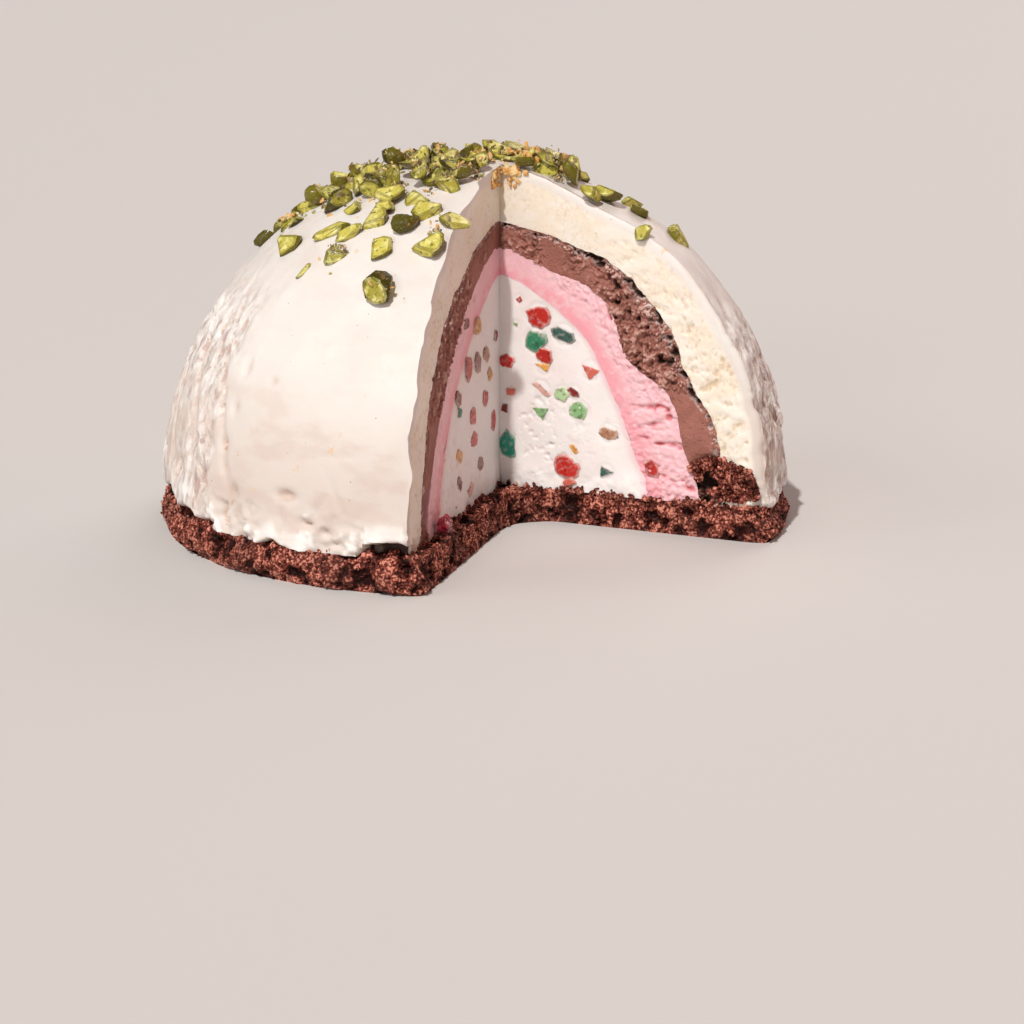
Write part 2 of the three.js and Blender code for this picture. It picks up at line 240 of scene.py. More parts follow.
def make_mesh(name: str, points: np.ndarray, faces: list) -> bpy.types.Object:
    """A closed mesh object whose faces point out.

    Args:
        name: Name of the object.
        points: (N, 3) places in millimetres.
        faces: Lists of vertex numbers; a quad with a doubled corner becomes a triangle.

    Returns:
        The object, at the origin, linked to the scene.
    """
    clean = []
    for face in faces:
        ring = [v for i, v in enumerate(face) if v != face[i - 1]]
        if len(ring) > 2:
            clean.append(ring)
    mesh = bpy.data.meshes.new(name)
    mesh.from_pydata((points * MM).tolist(), [], clean)
    work = bmesh.new()
    work.from_mesh(mesh)
    bmesh.ops.recalc_face_normals(work, faces=work.faces[:])
    if work.calc_volume(signed=True) < 0:
        bmesh.ops.reverse_faces(work, faces=work.faces[:])
    work.to_mesh(mesh)
    work.free()
    mesh.shade_smooth()
    mesh.set_sharp_from_angle(angle=math.radians(CRISP_EDGE))
    piece = bpy.data.objects.new(name, mesh)
    bpy.context.scene.collection.objects.link(piece)
    return piece


def mesh_points(piece: bpy.types.Object) -> np.ndarray:
    """The (N, 3) places of a mesh's vertices, in millimetres."""
    flat = np.empty(3 * len(piece.data.vertices))
    piece.data.vertices.foreach_get("co", flat)
    return flat.reshape(-1, 3) / MM


def write_attribute(piece: bpy.types.Object, name: str, values: np.ndarray) -> None:
    """Stores one number for each vertex, for the material to read."""
    attribute = piece.data.attributes.new(name, "FLOAT", "POINT")
    attribute.data.foreach_set("value", np.asarray(values, dtype=np.float32))


def deliver(piece: bpy.types.Object, material: bpy.types.Material, slot: str, *nodes: str) -> None:
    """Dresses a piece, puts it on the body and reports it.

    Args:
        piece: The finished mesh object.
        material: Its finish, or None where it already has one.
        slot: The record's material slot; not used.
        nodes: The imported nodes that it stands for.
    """
    if material is not None:
        piece.data.materials.clear()
        piece.data.materials.append(material)
    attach(piece, BODY)
    if nodes:
        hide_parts(*nodes)
    triangles = sum(len(p.vertices) - 2 for p in piece.data.polygons)
    LOG.info("%s: %d triangles", piece.name, triangles)


# ---- Layers ----


@dataclass(frozen=True)
class Nudge:
    """A place beside a cut face where a layer's border bows out, or in where `out` is negative."""

    side: Side
    run: float
    height: float
    out: float
    reach: float = 9.0


@dataclass(frozen=True)
class Dome:
    """A dome surface: (r / half_width) ** power + (rise / height) ** power = 1."""

    half_width: float
    height: float
    power: float = 2.0
    foot_centre: tuple = (0.0, 0.0)
    summit_at_corner: bool = False
    unevenness: float = 1.0
    grain: float = 24.0
    seed: int = 1
    fray: float = 0.0  # fine raggedness, strongest half way up
    nudges: tuple = ()

    def _curve(self, azimuth: float, grow: float) -> tuple:
        """The dome's section from above the corner outwards.

        Args:
            azimuth: Direction from the corner, in degrees.
            grow: How much wider and higher the dome is made.

        Returns:
            Runs from the corner, and the heights there.
        """
        half_width, height = self.half_width + grow, self.height + grow
        to_corner = CORNER - self.foot_centre
        direction = plan_direction(azimuth)
        along = float(to_corner @ direction)
        reach = -along + math.sqrt(along**2 - float(to_corner @ to_corner) + half_width**2)
        run = reach * np.sin(np.linspace(0.0, np.pi / 2, 300))
        if self.summit_at_corner:
            spread = run / reach
        else:
            plan = to_corner + run[:, None] * direction
            spread = np.clip(np.hypot(plan[:, 0], plan[:, 1]) / half_width, 0.0, 1.0)
        return run, DOME_CENTRE_Z + height * (1.0 - spread**self.power) ** (1.0 / self.power)

    def surface(self, azimuths: np.ndarray, rows: np.ndarray, floor: float, grow: float = 0.0) -> np.ndarray:
        """The dome from above the cut's corner down to the floor.

        Args:
            azimuths: Directions from the corner, in degrees.
            rows: Shares of each curve's length, from 0 above the corner to 1 at the floor.
            floor: Height of the lower edge.
            grow: How much wider and higher the dome is made.

        Returns:
            (len(azimuths), len(rows), 3) points in millimetres.
        """
        sheets = []
        for azimuth in azimuths:
            direction = plan_direction(azimuth)
            run, z = self._curve(azimuth, grow)
            run, z = np.append(run, run[-1]), np.append(z, floor)
            length = np.append(0.0, np.cumsum(np.hypot(np.diff(run), np.diff(z))))
            at = rows * length[-1]
            plan = CORNER + np.interp(at, length, run)[:, None] * direction
            sheets.append(np.column_stack([plan, np.interp(at, length, z)]))
        points = np.array(sheets)
        flat = points.reshape(-1, 3)
        out = self.outwards(flat)
        shift = self.unevenness * rough(flat, self.grain, self.seed, 4)
        ragged = 0.25 + 0.75 * between(flat[:, 2], 48.0, 96.0, 10.0)
        shift = shift + self.fray * ragged * rough(flat, 4.5, self.seed + 50, 3)
        for nudge in self.nudges:
            gap = np.linalg.norm(flat - on_face(nudge.side, nudge.run, nudge.height), axis=1)
            shift = shift + nudge.out * np.exp(-0.5 * np.square(gap / nudge.reach))
        flat = flat + out * shift[:, None]
        flat[:, 2] = np.maximum(flat[:, 2], floor)
        return flat.reshape(points.shape)

    def outwards(self, points: np.ndarray) -> np.ndarray:
        """Unit vectors from the dome's centre through the points, level near the floor."""
        arrow = points - (self.foot_centre[0], self.foot_centre[1], DOME_CENTRE_Z)
        arrow[:, 2] = np.maximum(arrow[:, 2], 0.0)
        return arrow / np.linalg.norm(arrow, axis=1)[:, None]


RIGHT, LEFT = Side.RIGHT, Side.LEFT

VANILLA_DOME = Dome(
    110.0, 110.0, unevenness=0.7, grain=34.0, seed=11,
    nudges=(Nudge(RIGHT, 35, 114, -3.2, 14), Nudge(LEFT, 76, 92, -2.2, 14)),
)
CHOCOLATE_DOME = Dome(
    94.0, 90.0, unevenness=1.5, grain=20.0, seed=23, fray=1.5,
    nudges=(
        Nudge(RIGHT, 72, 56, -4.0), Nudge(RIGHT, 46, 92, 2.0),
        Nudge(LEFT, 42, 93, -2.6), Nudge(LEFT, 88, 42, -2.0),
    ),
)
STRAWBERRY_DOME = Dome(
    86.0, 82.0, power=1.6, unevenness=1.4, grain=18.0, seed=37, fray=0.9,
    nudges=(
        Nudge(RIGHT, 37, 83, 5.0), Nudge(RIGHT, 51, 60, -6.0, 8),
        Nudge(RIGHT, 71, 29, -3.4), Nudge(RIGHT, 60, 53, 1.0),
    ),
)
CORE_DOME = Dome(
    69.0, 71.0, power=1.6, foot_centre=(-8.3, -3.9), summit_at_corner=True,
    unevenness=1.2, grain=26.0, seed=41,
    nudges=(
        Nudge(RIGHT, 60, 15, 7.0, 6), Nudge(RIGHT, 32, 69, 1.5),
        Nudge(LEFT, 28, 84, -4.5, 12), Nudge(LEFT, 40, 62, -4.0, 12), Nudge(LEFT, 50, 38, -2.0, 10),
    ),
)


@dataclass
class FacePoints:
    """The points of one cut face of a layer, in flat arrays."""

    side: Side
    place: np.ndarray  # (N, 3) millimetres
    run: np.ndarray  # distance from the corner
    height: np.ndarray
    across: np.ndarray  # 0 at the layer's outside, 1 at its inside
    from_edge: np.ndarray  # distance from the layer's outside edge

    def near(self, run: float, height: float, reach: float) -> np.ndarray:
        """Is 1 at a place of the face and falls off round it."""
        return np.exp(-0.5 * (np.square(self.run - run) + np.square(self.height - height)) / reach**2)


@dataclass
class Layer:
    """One ice cream layer: its two domes, its mesh densities and its place."""

    node: str
    slot: str
    outer: Dome
    inner: Dome = None
    rows: int = 330
    across: int = 40
    sweep: np.ndarray = field(default_factory=lambda: layer_sweep(14, 14))
    floor: float = SPONGE_TOP - 0.3
    grow: float = 0.12

    def relief(self, face: FacePoints) -> np.ndarray:
        """How far each point of a cut face stands proud of the knife's plane."""
        return 0.1 * rough(face.place, 6.0, 5)

    def waver(self, face: FacePoints) -> np.ndarray:
        """How far the knife's cut itself wandered off its plane."""
        return np.zeros(len(face.run))

    def outside(self, points: np.ndarray) -> tuple:
        """The outer surface, its relief and how weathered it is; plain where it is hidden."""
        return points, np.zeros(len(points)), np.zeros(len(points))

    def face_points(self, side: Side, outer_edge: np.ndarray, inner_edge: np.ndarray) -> tuple:
        """A cut face between its two edges.

        Args:
            side: Which cut face.
            outer_edge: (rows, 3) points of the layer's outside.
            inner_edge: (rows, 3) points of its inside.

        Returns:
            The face's (rows, across, 3) points, and their relief.
        """
        share = np.linspace(0.0, 1.0, self.across)[None, :, None]
        flat = outer_edge[:, None, :] * (1.0 - share) + inner_edge[:, None, :] * share
        place = flat.reshape(-1, 3)
        run = (place[:, :2] - CORNER) @ side.direction
        edge = np.repeat(outer_edge, self.across, axis=0)
        from_edge = np.linalg.norm(place - edge, axis=1)
        across = np.tile(share[0, :, 0], len(outer_edge))
        face = FacePoints(side, place.copy(), run, place[:, 2].copy(), across, from_edge)
        shift = self.relief(face) * ramp(run, 0.0, 1.2)
        moved = shift + self.waver(face) * ramp(run, 0.0, 1.2)
        place[:, :2] += moved[:, None] * side.into_wedge
        return place.reshape(flat.shape), shift.reshape(flat.shape[:2])

    def build(self) -> bpy.types.Object:
        """Sweeps the layer round the cut's corner and closes it.

        Returns:
            The layer's mesh object with its attributes.
        """
        rows = np.linspace(0.0, 1.0, self.rows)
        outer = self.outer.surface(self.sweep, rows, self.floor, self.grow)
        shape = outer.shape
        flat, relief, wear = self.outside(outer.reshape(-1, 3))
        outer = flat.reshape(shape)
        outer[:, 0] = outer[:, 0].mean(axis=0)
        if self.inner is None:
            heights = np.interp(rows, [0.0, 1.0], [outer[0, 0, 2], self.floor])
            inner = np.column_stack([np.tile(CORNER, (self.rows, 1)), heights])[None]
        else:
            inner = self.inner.surface(layer_sweep(13, 13), rows, self.floor, -self.grow)
            inner[:, 0] = inner[:, 0].mean(axis=0)
        right, right_relief = self.face_points(Side.RIGHT, outer[0], inner[0])
        left, left_relief = self.face_points(Side.LEFT, outer[-1], inner[-1])
        shares = np.linspace(0.0, 1.0, self.across)[None, :]
        sheets = [(right, 1.0, shares, right_relief), (left, 1.0, shares, left_relief),
                  (outer, 0.0, wear.reshape(shape[:2]), relief.reshape(shape[:2]))]
        if self.inner is not None:
            sheets.append((inner, 0.0, 1.0, 0.0))
        return self._stitch(sheets)

    def _stitch(self, sheets: list) -> bpy.types.Object:
        """Joins the sheets into one closed mesh that shares the vertices on their edges.

        Args:
            sheets: Right face, left face, outside and perhaps inside, each with whether it is
                cut, its share across the layer (outside: how weathered it is) and its relief.

        Returns:
            The mesh object with the attributes cut, across and relief.
        """
        index, points, values, start = [], [], [], 0
        for sheet, cut, across, relief in sheets:
            shape = sheet.shape[:-1]
            count = shape[0] * shape[1]
            index.append(np.arange(start, start + count).reshape(shape))
            points.append(sheet.reshape(-1, 3))
            values.append([np.broadcast_to(part, shape).reshape(-1) for part in (cut, across, relief)])
            start += count
        right, left, outer = index[:3]
        left[0] = right[0]
        outer[0], outer[-1] = right[:, 0], left[:, 0]
        outer[:, 0] = right[0, 0]
        if self.inner is None:
            left[:, -1] = right[:, -1]
            right[0] = left[0] = right[0, 0]
            floor_ring = [right[-1, -1]]
            faces = []
        else:
            inner = index[3]
            inner[0], inner[-1] = right[:, -1], left[:, -1]
            inner[:, 0] = right[0, -1]
            floor_ring = list(inner[::-1, -1])
            faces = [grid_faces(inner)[:, ::-1]]
        faces = np.concatenate([grid_faces(outer), grid_faces(right), grid_faces(left)[:, ::-1]] + faces)
        ring = list(outer[:, -1]) + list(left[-1, 1:-1]) + floor_ring + list(right[-1, -2:0:-1])
        used = np.unique(np.concatenate([faces.ravel(), ring]))
        renumber = np.zeros(start, dtype=np.int64)
        renumber[used] = np.arange(len(used))
        faces = renumber[faces].tolist() + [renumber[ring].tolist()]
        piece = make_mesh(f"{self.node}_piece", np.concatenate(points)[used], faces)
        for number, label in enumerate(("cut", "across", "relief")):
            write_attribute(piece, label, np.concatenate([part[number] for part in values])[used])
        return piece


def layer_sweep(front: int, back: int, flank: int = 1) -> np.ndarray:
    """Azimuths from the right cut face round the back to the left one.

    Args:
        front: Steps on the side that the eye sees, next to the left cut face.
        back: Steps on the rest.
        flank: Steps on the furrowed stretch beside the right cut face.

    Returns:
        Azimuths in degrees, rising.
    """
    start, end = Side.RIGHT.value, Side.LEFT.value + FULL_TURN
    flank_end, turn = 36.0, 138.0
    beside = np.linspace(start, flank_end, flank, endpoint=False)
    rear = np.linspace(flank_end, turn, back, endpoint=False)
    return np.concatenate([beside, rear, np.linspace(turn, end, front)])


class VanillaShell(Layer):
    """The white outer shell: satin outside, with melted furrows, and flaky where it is cut."""

    def relief(self, face: FacePoints) -> np.ndarray:
        """Flaky, level ridges and pores, with a worn outer edge and a smooth band beside it.

        Args:
            face: The points of one cut face.

        Returns:
            (N,) millimetres proud of the knife's plane.
        """
        if face.side is RIGHT:
            flaky = ramp(face.run, 34.0, 52.0) * ramp(face.from_edge, 2.5, 6.0)
        else:
            flaky = 0.4 * ramp(face.from_edge, 2.5, 6.0)
        torn = np.clip(0.75 + 0.6 * lumps(face.place, 14.0, 99), 0.15, 1.2) * flaky
        ridges = rough(face.place * (0.3, 0.3, 1.0), 1.7, 101, 3)
        shelf = np.maximum(0.0, lumps(face.place * (0.25, 0.25, 1.0), 3.4, 102)) ** 2
        pores = np.minimum(0.0, rough(face.place, 2.2, 103, 3) + 0.06)
        worn = (-1.1 if face.side is RIGHT else 0.0) * np.exp(-face.from_edge / 0.9)
        crumbly_foot = ramp(face.height, 27.0, 16.0) * ramp(face.run, 88.0, 93.0)
        crumbs = 0.5 - crumb_distance(face.place, 3.0, 106)
        fine = 0.09 * rough(face.place, 1.4, 107)
        smooth = 0.35 * rough(face.place, 12.0, 105) + worn + fine
        return smooth + torn * (0.42 * ridges + 0.8 * shelf + 1.5 * pores) + 1.9 * crumbly_foot * crumbs

    def waver(self, face: FacePoints) -> np.ndarray:
        """A wavy edge with chips on the left, where the knife went in."""
        if face.side is RIGHT:
            return super().waver(face)
        chips = 2.2 * np.maximum(0.0, lumps(face.place, 8.0, 120) - 0.05) * np.exp(-face.from_edge / 3.5)
        return chips + 1.5 * lumps(face.place, 12.0, 121) * np.exp(-face.from_edge / 9.0)

    def outside(self, points: np.ndarray) -> tuple:
        """Shallow dents all over, furrows and marks, crumbly patches, and a scalloped foot.

        Args:
            points: (N, 3) places on the smooth dome, in millimetres.

        Returns:
            The moved points, their relief, and how weathered they are.
        """
        azimuth = np.degrees(np.arctan2(points[:, 1], points[:, 0]))
        height = points[:, 2]
        out = self.outer.outwards(points)
        turn = np.radians(azimuth)
        around = np.column_stack([np.cos(turn), np.sin(turn)]) * self.outer.half_width
        ring = np.column_stack([around, np.zeros(len(points))])
        weathered = self.weathered(points, azimuth)
        furrows = rough(np.column_stack([around, height * 0.2]), 5.0, 204, 4)
        curdled = np.minimum(0.0, rough(points * (1.0, 1.0, 0.45), 4.4, 209, 3) + 0.08)
        shift = 0.45 * lumps(points, 16.0, 202) + 0.16 * rough(points, 6.0, 203)
        smears = np.maximum(0.0, lumps(points * (1.0, 1.0, 0.4), 9.0, 210)) ** 2
        shift = shift + 0.7 * smears + weathered * (2.4 * furrows + 5.6 * curdled)
        for mark in DOME_MARKS:
            shift = shift - mark.depth * mark.nearness(azimuth, points)
        patch = between(azimuth, -144.0, -131.0, 2.0) + between(azimuth, -120.0, -109.0, 2.0)
        patch = patch + 0.6 * np.clip(lumps(ring, 9.0, 211) - 0.1, 0.0, 1.0)
        crumbly = np.clip(patch, 0.0, 1.0) * ramp(height, 28.0, 19.0)
        crumbs = 2.4 * (0.5 - crumb_distance(points, 3.6, 212)) + 2.0 * rough(points, 3.0, 213)
        shift = shift + crumbly * crumbs
        foot = self.foot_line(azimuth, ring)
        lobes = 0.5 + 0.5 * lumps(ring, 8.0, 207)
        shift = np.minimum(shift + 1.9 * lobes * ramp(height, foot + 12.0, foot + 2.0), 3.0)
        under = ramp(foot - height, -0.6, 1.4)
        return points + out * (shift - 7.5 * under)[:, None], shift - 8.0 * under, weathered

    @staticmethod
    def foot_line(azimuth: np.ndarray, ring: np.ndarray) -> np.ndarray:
        """The height at which the ice cream ends above the sponge, at each azimuth."""
        wavy = 12.4 + 2.2 * lumps(ring, 9.0, 221) + 0.8 * lumps(ring, 3.0, 222)
        known = np.interp(azimuth, *zip(*FOOT_HEIGHTS)) + 0.5 * lumps(ring, 2.6, 223)
        share = between(azimuth, FOOT_HEIGHTS[0][0], FOOT_HEIGHTS[-1][0], 4.0)
        return wavy * (1.0 - share) + known * share

    @staticmethod
    def weathered(points: np.ndarray, azimuth: np.ndarray) -> np.ndarray:
        """How furrowed and melted the outside is, from 0 to 1."""
        left_side = between(azimuth, -180.0, -149.0, 7.0) + between(azimuth, 150.0, 180.0, 14.0)
        right_side = between(azimuth, -24.0, 30.0, 12.0)
        patch = np.clip(0.75 + 0.7 * lumps(points * (1.0, 1.0, 0.5), 22.0, 214), 0.15, 1.0)
        return np.clip(left_side + right_side, 0.0, 1.0) * ramp(points[:, 2], 98.0, 66.0) * patch


@dataclass(frozen=True)
class DomeMark:
    """A hollow on the outside of the dome, or a bulge where `depth` is negative."""

    azimuth: float  # degrees
    height: float  # millimetres above the plate
    depth: float
    half_width: float
    half_height: float
    lean: float = 0.0  # how far it moves round the dome for each millimetre of height

    def nearness(self, azimuth: np.ndarray, points: np.ndarray) -> np.ndarray:
        """Is 1 in the middle of the mark and falls off round it."""
        rise = points[:, 2] - self.height
        turn = (azimuth - self.azimuth + 180.0) % FULL_TURN - 180.0
        along = np.radians(turn) * np.hypot(points[:, 0], points[:, 1]) - self.lean * rise
        return np.exp(-np.square(along / self.half_width) - np.square(rise / self.half_height))


DOME_MARKS = (
    DomeMark(-156.5, 53, 1.7, 1.6, 22, -0.70),
    DomeMark(-146.5, 60, 1.6, 1.5, 26, -0.52),
    DomeMark(-168.0, 45, 1.5, 1.6, 22, -0.45),
    DomeMark(-151.0, 48, -1.1, 3.6, 18, -0.60),
    DomeMark(-140.0, 66.7, 1.8, 1.7, 2.6),
    DomeMark(-148.5, 78.2, 1.8, 2.2, 3.2),
    DomeMark(-144.7, 51.7, 1.9, 2.2, 2.2),
    DomeMark(-140.1, 53.8, 1.6, 1.7, 2.4),
    DomeMark(-141.4, 41.5, 1.8, 2.1, 2.0),
    DomeMark(-131.5, 64.6, 1.0, 1.9, 1.5),
    DomeMark(-140.5, 34.0, 1.5, 1.3, 4.5, -0.4),
    DomeMark(-137.5, 25.5, 2.2, 2.4, 3.4, 0.3),
    DomeMark(-139.5, 18.5, 1.8, 1.5, 4.0),
    DomeMark(-124.2, 28.9, 2.4, 3.8, 1.8),
    DomeMark(-125.3, 21.0, 1.2, 1.2, 6.0),
    DomeMark(-113.6, 30.0, 0.9, 1.1, 7.0, -0.5),
    DomeMark(-117.5, 26.0, 0.8, 1.1, 6.0, 0.6),
    DomeMark(-113.0, 44.0, 0.5, 5.0, 1.3, 0.8),
    DomeMark(-120.0, 20.0, 1.3, 2.6, 1.6),
    DomeMark(-106.8, 13.5, -3.0, 2.6, 3.4),
    DomeMark(-14.7, 80.0, 2.2, 2.4, 2.6),
    DomeMark(-8.0, 72.0, 1.4, 1.8, 4.0),
    DomeMark(-6.5, 38.0, -1.8, 1.8, 5.0),
    DomeMark(-10.0, 25.0, -1.7, 1.8, 4.0),
    DomeMark(-20.4, 14.5, -2.4, 2.6, 2.6),
)

# Where the ice cream's foot ends at the front left: azimuth in degrees and height in millimetres.
FOOT_HEIGHTS = (
    (-172, 15.0), (-166, 18.0), (-160, 16.5), (-157, 13.4), (-153, 16.6), (-150, 15.4), (-147.4, 12.6),
    (-144, 14.6), (-140.6, 10.4), (-133.4, 11.4), (-130.4, 10.4), (-127, 13.8), (-125, 12.2), (-122, 11.0),
    (-117, 10.6), (-113, 11.0), (-110, 11.2), (-108, 16.0), (-104.5, 17.4), (-101.5, 17.0), (-98, 14.0),
)


class ChocolateLayer(Layer):
    """The milk chocolate layer: crumbly half way up, smooth at the top and near the sponge."""

    def crumbliness(self, face: FacePoints) -> np.ndarray:
        """How crumbly the cut is at each point, from 0 to 1.

        Args:
            face: The points of one cut face.

        Returns:
            (N,) values.
        """
        middle = between(face.height, 54.0, 92.0, 6.0) * ramp(face.run, 30.0, 44.0)
        low = ramp(face.height, 27.0, 18.0)
        cracked = 0.75 * np.clip(lumps(face.place, 7.0, 301) + 0.15, 0.0, 1.0) * ramp(face.height, 86.0, 94.0)
        frayed = 0.8 * ramp(face.from_edge, 3.4, 1.0)
        return np.clip(middle + low + cracked + frayed, 0.05, 1.0)

    def relief(self, face: FacePoints) -> np.ndarray:
        """Crumbs with pits between them, and crevices along the outer border.

        Args:
            face: The points of one cut face.

        Returns:
            (N,) millimetres proud of the knife's plane.
        """
        crumbly = self.crumbliness(face)
        crumbs = 0.5 - crumb_distance(warped(face.place, 0.9, 2.6, 311), 1.5, 302)
        flakes = rough(face.place, 1.8, 303, 3)
        pits = np.minimum(0.0, rough(face.place, 2.6, 304, 4) + 0.06)
        parted = np.maximum(0.0, lumps(face.place, 6.0, 305) + 0.2)
        crevice = np.exp(-np.square((face.from_edge - 1.4) / 1.2)) * parted
        hole = face.near(81.0, 22.0, 3.6)
        strong = 1.0 if face.side is RIGHT else 0.55
        relief = crumbly * (2.1 * crumbs + 2.0 * flakes + 4.0 * pits) * strong
        grain = 0.1 * rough(face.place * (0.4, 0.4, 1.0), 1.6, 307)
        return relief + 0.25 * rough(face.place, 9.0, 306) + grain - 2.4 * crevice - 9.0 * hole


class StrawberryLayer(Layer):
    """The pink layer: rough towards the chocolate, smooth along its deeper pink inside."""

    def relief(self, face: FacePoints) -> np.ndarray:
        """Small flakes on the outer half, shallow dents inside, and level tears low down.

        Args:
            face: The points of one cut face.

        Returns:
            (N,) millimetres proud of the knife's plane.
        """
        flaky = ramp(face.across, 0.72, 0.3) * between(face.height, 46.0, 96.0, 8.0)
        flaky = np.clip(flaky * ramp(face.run, 14.0, 26.0) + ramp(face.height, 30.0, 18.0), 0.0, 1.0)
        flakes = rough(face.place, 1.7, 402, 3) + 0.5 * (0.5 - crumb_distance(face.place, 1.9, 401))
        pores = np.minimum(0.0, rough(face.place, 2.8, 403, 3) + 0.08)
        level = face.place * (0.4, 0.4, 1.0)
        tears = np.minimum(0.0, rough(level, 3.2, 406, 3) + 0.18)
        low = ramp(face.height, 56.0, 38.0)
        strong = 1.0 if face.side is Side.RIGHT else 0.5
        smooth = 0.25 * rough(face.place, 8.0, 404) + 0.07 * rough(face.place, 1.5, 405)
        return smooth + strong * (flaky * (0.8 * flakes + 1.7 * pores) + low * (3.4 * tears + 0.6 * flakes))


class FruitCore(Layer):
    """The white core that holds the candied fruit."""

    def relief(self, face: FacePoints) -> np.ndarray:
        """Nearly smooth, with bubbles and torn spots low down, and two swellings at its foot.

        Args:
            face: The points of one cut face.

        Returns:
            (N,) millimetres proud of the knife's plane.
        """
        torn = between(face.height, 16.0, 44.0, 7.0) * np.maximum(0.0, lumps(face.place, 9.0, 501) + 0.25)
        bubbles = np.minimum(0.0, rough(face.place, 2.0, 502, 3) + 0.12)
        foot = ramp(face.height, 22.0, 14.0) * rough(face.place, 4.0, 504)
        swelling = 1.4 * face.near(12.0, 15.0, 4.5) + 1.2 * face.near(50.0, 14.5, 4.0)
        edges = sum(self._rim_of(face, die) for die in DICE if die.side is face.side)
        smooth = 0.22 * rough(face.place, 9.0, 503) + 0.05 * rough(face.place, 1.4, 505)
        return smooth + torn * 1.6 * bubbles + 0.9 * foot + swelling - 0.2 * edges

    def _rim_of(self, face: FacePoints, die: "Die") -> np.ndarray:
        """The shallow groove that the knife leaves round a candied piece."""
        size = math.hypot(die.width, die.tall) / 2.6
        gap = np.hypot(face.run - die.run, face.height - die.height) - size
        return np.exp(-np.square(gap / 0.8))


# ---- Node trees ----

Source = Union[bpy.types.NodeSocket, bpy.types.ID, float, str, tuple, None]


class Sheet:
    """A node tree, with short calls for the nodes that finishes and instances use."""

    def __init__(self, tree: bpy.types.NodeTree) -> None:
        """Works on the given tree."""
        self.tree = tree

    def add(self, kind: str, feeds: dict, **settings: Source) -> bpy.types.Node:
        """Adds a node.

        Args:
            kind: The node's type.
            feeds: What each input gets, by its name or number.
            settings: Properties that are set before the inputs are fed.

        Returns:
            The node.
        """
        made = self.tree.nodes.new(kind)
        for name, value in settings.items():
            setattr(made, name, value)
        for label, source in feeds.items():
            self.feed(made.inputs[label], source)
        return made

    def feed(self, socket: bpy.types.NodeSocket, source: Source) -> None:
        """Links a socket, or sets its value where the source is a plain number or colour.

        Args:
            socket: The input of a node, or of a tree's output.
            source: The socket that it is linked to, or its value.
        """
        if isinstance(source, bpy.types.NodeSocket):
            self.tree.links.new(source, socket)
        elif socket.type == "RGBA":
            socket.default_value = (*source, 1.0)
        else:
            socket.default_value = source

    def place(self) -> bpy.types.NodeSocket:
        """Object coordinates, in metres."""
        return self.add("ShaderNodeTexCoord", {}).outputs["Object"]

    def stretched(self, x: float, y: float, z: float) -> bpy.types.NodeSocket:
        """Object coordinates, scaled along each axis; a small number draws a pattern out."""
        feeds = {0: self.place(), 1: (x, y, z)}
        return self.add("ShaderNodeVectorMath", feeds, operation="MULTIPLY").outputs[0]

    def height(self) -> bpy.types.NodeSocket:
        """Height above the plate, in metres."""
        return self.add("ShaderNodeSeparateXYZ", {0: self.place()}).outputs["Z"]

    def attribute(self, name: str) -> bpy.types.NodeSocket:
        """A number stored on the mesh."""
        return self.add("ShaderNodeAttribute", {}, attribute_name=name).outputs["Fac"]

    def math(self, operation: str, a: Source, b: Source = 0.0) -> bpy.types.NodeSocket:
        """One sum, difference or other operation on two numbers."""
        return self.add("ShaderNodeMath", {0: a, 1: b}, operation=operation).outputs[0]

    def times(self, a: Source, b: Source) -> bpy.types.NodeSocket:
        """The product of two numbers."""
        return self.math("MULTIPLY", a, b)

    def remap(self, value: Source, low: Source, high: Source, to: tuple = (0.0, 1.0)) -> bpy.types.NodeSocket:
        """Maps low..high to the range `to`, clamped and eased."""
        feeds = dict(enumerate((value, low, high, *to)))
        return self.add("ShaderNodeMapRange", feeds, interpolation_type="SMOOTHSTEP").outputs[0]

    def mix(self, factor: Source, a: Source, b: Source, blend: str = "MIX") -> bpy.types.NodeSocket:
        """Mixes two colours."""
        feeds = {"Factor": factor, 6: a, 7: b}
        return self.add("ShaderNodeMix", feeds, data_type="RGBA", blend_type=blend).outputs[2]

    def noise(self, grain: float, detail: float = 2.0, where: Source = None,
              seed: float = 0.0) -> bpy.types.NodeSocket:
        """Noise from 0 to 1 with lumps about `grain` millimetres across."""
        feeds = {"Vector": where or self.place(), "W": seed, "Scale": 1.0 / (grain * MM), "Detail": detail}
        return self.add("ShaderNodeTexNoise", feeds, noise_dimensions="4D").outputs["Fac"]

    def cells(self, grain: float) -> bpy.types.NodeSocket:
        """Distance to the nearest cell centre, of cells `grain` millimetres across."""
        feeds = {"Vector": self.place(), "Scale": 1.0 / (grain * MM)}
        return self.add("ShaderNodeTexVoronoi", feeds).outputs["Distance"]

    def bump(self, height: Source, distance: float, strength: Source = 1.0,
             under: Source = None) -> bpy.types.NodeSocket:
        """A normal bent by a height from 0 to 1 that stands for `distance` millimetres."""
        feeds = {"Height": height, "Distance": distance * MM, "Strength": strength}
        if under is not None:
            feeds["Normal"] = under
        return self.add("ShaderNodeBump", feeds).outputs["Normal"]


def new_tree(kind: str, name: str, inputs: dict, outputs: dict) -> tuple:
    """An empty node tree.

    Args:
        kind: Its type.
        name: Its name.
        inputs: Labels of the inputs, with their socket types.
        outputs: The same for the outputs.

    Returns:
        The tree, its Sheet, its input node and its output node.
    """
    tree = bpy.data.node_groups.new(name, kind)
    for way, sockets in (("INPUT", inputs), ("OUTPUT", outputs)):
        for label, socket in sockets.items():
            tree.interface.new_socket(label, in_out=way, socket_type=socket)
    sheet = Sheet(tree)
    return tree, sheet, sheet.add("NodeGroupInput", {}), sheet.add("NodeGroupOutput", {})


# ---- Finishes ----


